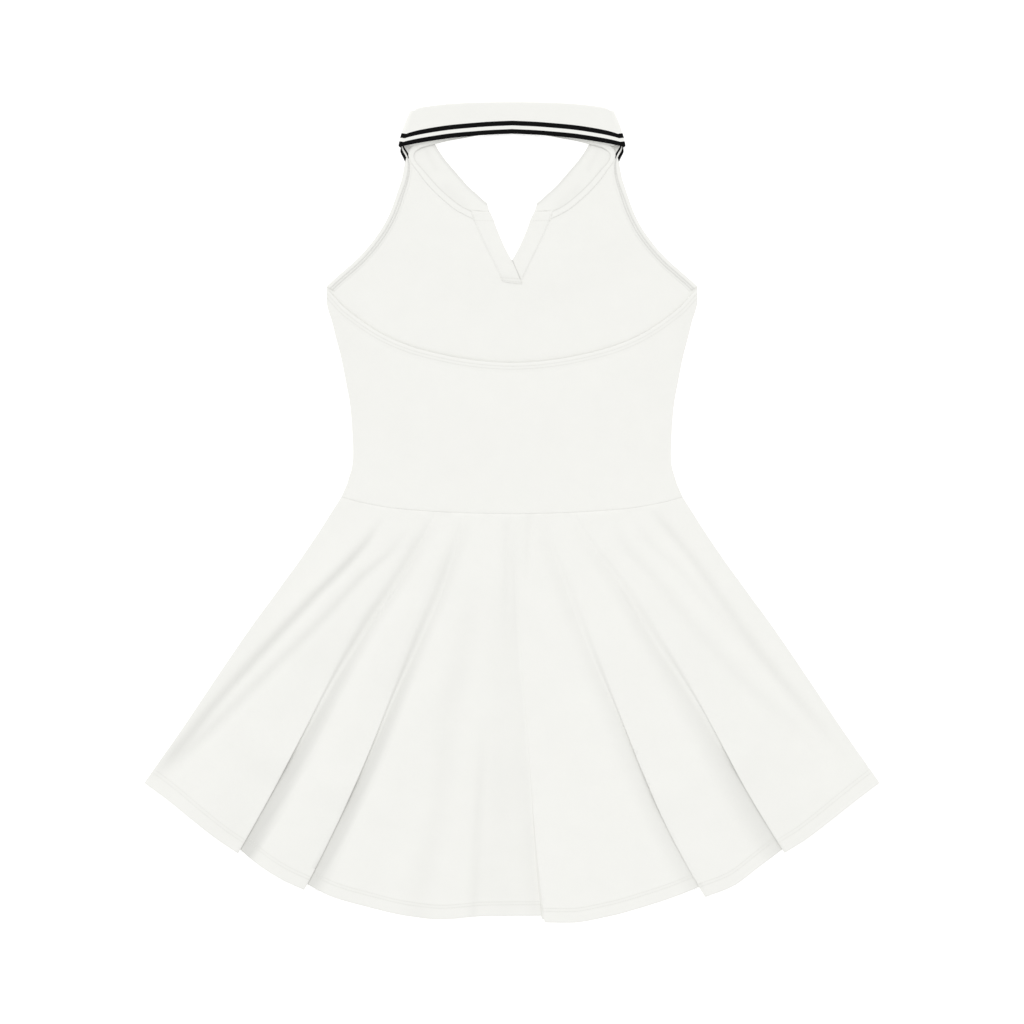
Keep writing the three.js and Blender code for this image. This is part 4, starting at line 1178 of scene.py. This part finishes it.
def stitch_rows(name, rows, thread):
    """Stitches along rows of (points, outward directions), in millimetres."""
    sewing = bpy.context.scene.dress_sewing
    verts, edges, outward = [], [], []
    for points, normals in rows:
        start = len(verts)
        verts.extend((np.asarray(points) * MM).tolist())
        outward.extend(np.asarray(normals).tolist())
        edges.extend((start + k, start + k + 1) for k in range(len(points) - 1))
    mesh = bpy.data.meshes.new(name)
    mesh.from_pydata(verts, edges, [])
    attribute = mesh.attributes.new("outward", "FLOAT_VECTOR", "POINT")
    attribute.data.foreach_set("vector", np.array(outward, dtype=np.float32).ravel())
    piece = in_scene(name, mesh)
    tree = bpy.data.node_groups.get("stitch rows") or stitch_tree()
    modifier = piece.modifiers.new("stitches", "NODES")
    modifier.node_group = tree
    keys = {item.name: item.identifier for item in tree.interface.items_tree if item.in_out == "INPUT"}
    values = {
        "Pitch": sewing.pitch, "Stitch Length": sewing.stitch, "Thread Width": sewing.thread,
        "Thread Height": sewing.thread * THREAD_FLATNESS, "Thread": thread,
    }
    for key, value in values.items():
        modifier[keys[key]] = value
    return finish_piece(apply_modifiers(piece), "body_knit")


def level_row(points, wall):
    """A row of points on a level trim, with its outward directions."""
    up = np.array([0.0, 0.0, 1.0])
    return points + up * (wall / 2 + TRIM_THREAD_LIFT), np.broadcast_to(up, points.shape)


def panel_row(points, columns, row_at, wall):
    """A row of points on a panel, where row_at puts each column between two rows, with its outward ways."""
    normals = grid_normals(points)
    line, outward = [], []
    for column in columns:
        at = float(row_at(column))
        low = min(int(at), len(points) - 2)
        outward.append(normals[low, column])
        spot = mix(points[low, column], points[low + 1, column], at - low)
        line.append(spot + outward[-1] * (wall / 2 + PANEL_THREAD_LIFT))
    return np.array(line), np.array(outward)


# Operators


class DRESS_OT_front_bodice(bpy.types.Operator):
    """Make the front bodice, which lies on the floor with its inside up"""

    bl_idname = "dress.front_bodice"
    bl_label = "Front bodice"

    rows_between = 5
    columns = 64

    def execute(self, context):
        left = front_bodice_grid(self.rows_between, self.columns)
        sheet = Sheet()
        for points in (left, *other_side(left)):
            x, y = points[..., 0], points[..., 1]
            points[..., 2] = front_level(x, y) + WALL / 2
            sheet.add(points, (x, y))
        piece = sheet.build("front_bodice_cloth", "front_bodice", WALL, knit_finish("front knit", {}))
        return {"FINISHED"}


class DRESS_OT_back_bodice(bpy.types.Operator):
    """Make the back bodice with its scooped top edge"""

    bl_idname = "dress.back_bodice"
    bl_label = "Back bodice"

    side_columns = (0, 0.3, 0.6, 0.9, 1.2, 1.6, 2.2, 3.2)  # millimetres from the side seam
    middle_columns = 170
    stitch_margin = 3  # columns without a stitch at either end
    normal_row = 4  # the stitches lie as the cloth does here

    def execute(self, context):
        rows = spaced((0, 0.1, 14), (0.1, 0.93, 50), (0.93, 1, 10))
        ends = 1 - np.array(self.side_columns) / WAIST_HALF
        middle = np.linspace(-ends[-1], ends[-1], self.middle_columns)[1:-1]
        points, from_scoop, from_waist = back_bodice_grid(rows, np.concatenate([-ends, middle, ends[::-1]]))
        sheet = Sheet().add(points, cloth_lengths(points), from_scoop=from_scoop, from_waist=from_waist)
        sewing = context.scene.dress_sewing
        places = sewing.scoop_near / MM, sewing.scoop_far / MM
        sewn = {"from_scoop": [(place, *ROW_GROOVE) for place in places], "from_waist": [WAIST_GROOVE]}
        piece = sheet.build("back_bodice_cloth", "back_bodice", WALL, knit_finish("back knit", sewn))
        columns = range(self.stitch_margin, points.shape[1] - self.stitch_margin)
        outward = grid_normals(points)[self.normal_row, columns.start:columns.stop]
        row_at = {j: Curve(from_scoop[:, j], np.arange(len(rows))) for j in columns}
        stitched = [
            (panel_row(points, columns, lambda j: row_at[j](place), WALL)[0], outward) for place in places
        ]
        row = stitch_rows("scoop_stitches", stitched, thread_finish("scoop thread"))
        return {"FINISHED"}


class DRESS_OT_front_skirt(bpy.types.Operator):
    """Make the front skirt, flat on the floor under the back"""

    bl_idname = "dress.front_skirt"
    bl_label = "Front skirt"

    columns = 90
    rows = 40
    length = 430

    def execute(self, context):
        share = np.linspace(0, 1, self.columns)[None, :]
        down = np.linspace(0, 1, self.rows)[:, None]
        top_x = mix(-WAIST_HALF, WAIST_HALF, share) * FRONT_SKIRT_INSET
        low_x = mix(-HEM_HALF, HEM_HALF, share) * FRONT_SKIRT_INSET
        x = mix(top_x, low_x, down) * skirt_half(down) / mix(WAIST_HALF, HEM_HALF, down)
        y = mix(waist_up(top_x) - SEAM_GAP / 2, Curve(FRONT_HEM["share"], FRONT_HEM["up"])(share), down)
        points = np.stack([x, y, np.full_like(x, WALL / 2)], axis=-1)
        sheet = Sheet().add(points, cloth_lengths(points), from_hem=(1 - down) * self.length)
        sewing = context.scene.dress_sewing
        sewn = {"from_hem": [(place / MM, *ROW_GROOVE) for place in (sewing.hem_near, sewing.hem_far)]}
        knit = knit_finish("front skirt knit", sewn)
        piece = sheet.build("front_skirt_cloth", "front_skirt", WALL, knit)
        return {"FINISHED"}


class DRESS_OT_back_skirt(bpy.types.Operator):
    """Make the back skirt with its folds, creases and hem"""

    bl_idname = "dress.back_skirt"
    bl_label = "Back skirt"

    panel_steps = (34, 16, 44, 34, 16, 34)
    fold_steps = 10

    def execute(self, context):
        rows = spaced((0, 0.08, 18), (0.08, 0.94, 84), (0.94, 1, 16))
        points, from_hem, from_waist, painted_shade = skirt_surface(rows, self.panel_steps, self.fold_steps)
        sheet = Sheet().add(
            points, cloth_lengths(points), from_hem=from_hem, from_waist=from_waist, painted_shade=painted_shade
        )
        sewing = context.scene.dress_sewing
        places = sewing.hem_near / MM, sewing.hem_far / MM
        sewn = {"from_hem": [(place, *HEM_GROOVE) for place in places], "from_waist": [WAIST_GROOVE]}
        # the creases and the cloth under the folds are darkened by painted shade
        knit = knit_finish("skirt knit", sewn, painted_shade=True)
        piece = sheet.build("back_skirt_cloth", "back_skirt", SKIRT_WALL, knit, SKIRT_ROUND_EDGE)
        columns, order = range(1, points.shape[1] - 1), np.arange(len(rows))
        stitched = [
            panel_row(points, columns, lambda j: np.interp(-place, -from_hem[:, j], order), SKIRT_WALL)
            for place in places
        ]
        row = stitch_rows("hem_stitches", stitched, thread_finish("hem thread"))
        return {"FINISHED"}


class DRESS_OT_collar(bpy.types.Operator):
    """Make the folded collar with its two tipping stripes"""

    bl_idname = "dress.collar"
    bl_label = "Collar"

    stripes = ((-1, 4.8), (8.6, 13.6))
    front_seen = (0, 3.7, 4.9, 7.0)  # where the stripes' edges lie just in front of the side fold
    front_band = (0, 4.8, 8.6, 13.6)
    front_rows = ((6.4, 7), (10, 12))  # where that begins, and where it has ended
    shade_rows = (6.6, 7.6)  # where the shade of the front parts begins
    edge_run = 3  # the width over which the knitted edge thins
    steps = (16, 8, 12)  # down the fall, round the roll and down the stand

    def execute(self, context):
        stations = spaced((0, TURN_ROW, 60), (TURN_ROW, TURN_ROW + 1, 15), (TURN_ROW + 1, 17, 80))
        left = collar_surface(stations, *self.steps)
        points = np.concatenate([left[::-1], mirrored(left)[1:]])
        across = lengths_along(points, 1)
        along = over_grid(lengths_along(points[:, self.steps[0]]), points)
        squeezed = np.interp(across, self.front_seen, self.front_band)
        squeezed += np.maximum(across - self.front_seen[-1], 0)
        turned = np.concatenate([stations[::-1], stations[1:]])[:, None]
        begun, ended = self.front_rows
        share = smooth_step(*begun, turned) * (1 - smooth_step(*ended, turned))
        sheet = Sheet().add(
            points, (along, across), from_edge=mix(across, squeezed, share),
            painted_shade=collar_painted_shade(points, smooth_step(*self.shade_rows, turned)),
            wall_share=mix(COLLAR_THIN, 1, smooth_step(0, self.edge_run, across)),
        )
        rib = collar_finish("collar rib", self.stripes)
        piece = sheet.build("collar_band", "collar", WALL, rib, slot="collar_rib")
        return {"FINISHED"}


class DRESS_OT_neck_tape(bpy.types.Operator):
    """Make the tape over the neck seam, with a stitch row at either edge"""

    bl_idname = "dress.neck_tape"
    bl_label = "Neck tape"

    steps = 110
    lines = 15
    outer_run = 0.3  # the share of its half width over which its outer edge thins
    inner_shade = (0.1, 0.4)  # the same for the shade of its inner edge

    def execute(self, context):
        path, half = tape_path(self.steps)
        shares = np.linspace(-1, 1, self.lines)
        points = ribbon(path, half, shares)
        thin = mix(TRIM_THIN, 1, smooth_step(0, self.outer_run, 1 - shares))[None, :]
        points[..., 2] -= TAPE_WALL * (1 - thin) / 2
        along = over_grid(lengths_along(path), points)
        inner = 1 - smooth_step(*self.inner_shade, 1 + shares)[None, :]
        coords = along, half[:, None] * shares
        sheet = Sheet().add(points, coords, wall_share=thin, painted_shade=TAPE_EDGE_PAINTED_SHADE * inner)
        piece = sheet.build(
            "neck_tape_ribbon", "neck_seam_tape", TAPE_WALL, tape_finish("neck tape"), TAPE_ROUND_EDGE,
            slot="seam_tape",
        )
        rows = [level_row(ribbon(path, half, [share])[:, 0], TAPE_WALL) for share in TAPE_STITCHES]
        row = stitch_rows("tape_stitches", rows, thread_finish("tape thread"))
        return {"FINISHED"}


class DRESS_OT_placket(bpy.types.Operator):
    """Make the placket facing on both sides of the slit, with its topstitching"""

    bl_idname = "dress.placket"
    bl_label = "Placket"

    ends = {"left": (PLACKET_TOP_END, PLACKET_LIFT), "right": (PLACKET_UNDER_END, 0)}
    rows = 40
    columns = 24

    def stitch_lines(self, points, side):
        """Rows along the outer edge and the neck, and the left strip's two at its end."""
        if side == "left":
            outer, inner = points[:, 0], points[:, -1]
        else:
            outer, inner = points[:, -1], points[:, 0]
        lines = [mix(outer, inner, 0.07)[2:-2], mix(points[5], points[6], 0.1)]
        if side == "left":
            lines += [points[-2], mix(points[-4], points[-3], 0.5)]
        return [level_row(line, TRIM_WALL) for line in lines]

    def execute(self, context):
        thread = thread_finish("placket thread")
        start, end = np.array(SLIT)
        way = unit(end - start)
        for side, (strip_end, lift) in self.ends.items():
            points, thin = placket_grid(strip_end, lift, self.rows, self.columns)
            if side == "right":
                points, thin = other_side(points, thin)
            from_slit = np.abs((points[..., 0] - start[0]) * way[1] - (points[..., 1] - start[1]) * way[0])
            sewn = {"from_slit": [SLIT_GROOVE]} if side == "right" else {}
            knit = knit_finish(f"placket facing {side}", sewn)
            sheet = Sheet().add(points, cloth_lengths(points), wall_share=thin, from_slit=from_slit)
            piece = sheet.build(
                f"placket_facing_{side}", f"placket_{side}", TRIM_WALL, knit, TRIM_ROUND_EDGE
            )
            row = stitch_rows(f"placket_stitches_{side}", self.stitch_lines(points, side), thread)
        return {"FINISHED"}


class DRESS_OT_armhole_bands(bpy.types.Operator):
    """Make the turned armhole hems with their double coverstitch"""

    bl_idname = "dress.armhole_bands"
    bl_label = "Armhole bands"

    rows = 90
    columns = 24
    first_stitch = 8  # the row where the stitches begin, below the shoulder's point

    def execute(self, context):
        left, inward, thin = armhole_grid(self.rows, np.linspace(0, 1, self.columns))
        up = np.linspace(BAND["up"].max(), BAND["up"].min(), self.rows)
        near, far = (Curve(BAND["up"], BAND[name])(up) for name in ("near", "far"))
        full = BAND["near"][0], BAND["far"][0]
        marks = np.array([
            np.interp(inward[k], (0, near[k], far[k], inward[k, -1]), (0, *full, BAND["width"][0]))
            for k in range(self.rows)
        ])
        sewn = {"from_edge": [(place, *BAND_GROOVE) for place in full]}
        thread = thread_finish("armhole thread")
        lines = [
            np.array([
                [np.interp(place[k], inward[k], left[k, :, axis]) for axis in range(3)]
                for k in range(self.first_stitch, self.rows)
            ])
            for place in (near, far)
        ]
        sides = {"left": (left, marks, thin), "right": other_side(left, marks, thin)}
        for side, (points, distance, wall) in sides.items():
            sheet = Sheet().add(points, cloth_lengths(points), from_edge=distance, wall_share=wall)
            knit = knit_finish(f"armhole knit {side}", sewn)
            piece = sheet.build(
                f"armhole_hem_{side}", f"armhole_band_{side}", TRIM_WALL, knit, TRIM_ROUND_EDGE
            )
            rows = [level_row(line if side == "left" else mirrored(line), TRIM_WALL) for line in lines]
            row = stitch_rows(f"armhole_stitches_{side}", rows, thread)
        return {"FINISHED"}


class DRESS_OT_stage(bpy.types.Operator):
    """Make the pale floor, the soft light and the camera straight above"""

    bl_idname = "dress.stage"
    bl_label = "Stage"

    floor_size = 12
    sensor = 36
    dress_height = 0.003  # the height above the floor at which the picture has its full width

    def execute(self, context):
        scene = context.scene
        sizes = scene.dress_stage
        bpy.ops.mesh.primitive_plane_add(size=self.floor_size, location=(0, 0, 0))
        floor = context.object
        floor.name = "floor"
        finish = Finish("pale floor")
        shade = finish.colours.floor
        grain = finish.noise(60.0, 2.0, 0.5)
        floor.data.materials.append(finish.set({
            "Base Color": finish.blend(grain, colour(shade), colour([value * 0.995 for value in shade])),
            "Roughness": 0.9, "Specular IOR Level": 0.1, "Emission Color": (1, 1, 1, 1),
            "Emission Strength": sizes.floor_glow,
        }))

        world = bpy.data.worlds.new("soft light")
        world.use_nodes = True
        sky = world.node_tree.nodes["Background"].inputs
        sky["Color"].default_value = (1, 1, 1, 1)
        sky["Strength"].default_value = sizes.sky
        scene.world = world
        light = bpy.data.lights.new("key", "SUN")
        light.energy = sizes.key
        light.angle = sizes.key_spread
        lamp = in_scene("key", light)
        out = math.cos(sizes.key_height)
        towards = (out * math.cos(sizes.key_side), out * math.sin(sizes.key_side), math.sin(sizes.key_height))
        lamp.rotation_euler = Vector(towards).to_track_quat("Z", "Y").to_euler()

        camera = bpy.data.cameras.new("camera")
        camera.lens = sizes.lens
        camera.sensor_width = self.sensor
        stand = in_scene("camera", camera)
        stand.location = (0, 0, sizes.view / (camera.sensor_width / camera.lens) + self.dress_height)
        scene.camera = stand
        scene.view_settings.view_transform = "Standard"
        scene.view_settings.look = "None"
        return {"FINISHED"}


class DRESS_PT_panel(bpy.types.Panel):
    """Lists the dress's operators and sizes"""

    bl_label = "Dress"
    bl_space_type = "VIEW_3D"
    bl_region_type = "UI"
    bl_category = "Dress"

    def draw(self, context):
        for operator in OPERATORS:
            self.layout.operator(operator.bl_idname)
        for group in (context.scene.dress_colours, context.scene.dress_sewing, context.scene.dress_stage):
            for name in group.__annotations__:
                self.layout.prop(group, name)


GROUPS = {"dress_colours": DressColours, "dress_sewing": SewingSizes, "dress_stage": StageSizes}
OPERATORS = (
    DRESS_OT_stage, DRESS_OT_front_bodice, DRESS_OT_front_skirt, DRESS_OT_back_bodice, DRESS_OT_back_skirt,
    DRESS_OT_neck_tape, DRESS_OT_collar, DRESS_OT_armhole_bands, DRESS_OT_placket,
)


def register():
    for name, group in GROUPS.items():
        bpy.utils.register_class(group)
        setattr(bpy.types.Scene, name, bpy.props.PointerProperty(type=group))
    for operator in OPERATORS:
        bpy.utils.register_class(operator)
    bpy.utils.register_class(DRESS_PT_panel)


def unregister():
    bpy.utils.unregister_class(DRESS_PT_panel)
    for operator in reversed(OPERATORS):
        bpy.utils.unregister_class(operator)
    for name, group in GROUPS.items():
        delattr(bpy.types.Scene, name)
        bpy.utils.unregister_class(group)


def main():
    register()
    bpy.ops.dress.stage()
    bpy.ops.dress.front_bodice()
    bpy.ops.dress.front_skirt()
    bpy.ops.dress.back_bodice()
    bpy.ops.dress.back_skirt()
    bpy.ops.dress.neck_tape()
    bpy.ops.dress.collar()
    bpy.ops.dress.armhole_bands()
    bpy.ops.dress.placket()
    bpy.context.view_layer.update()


if __name__ == "__main__":
    main()
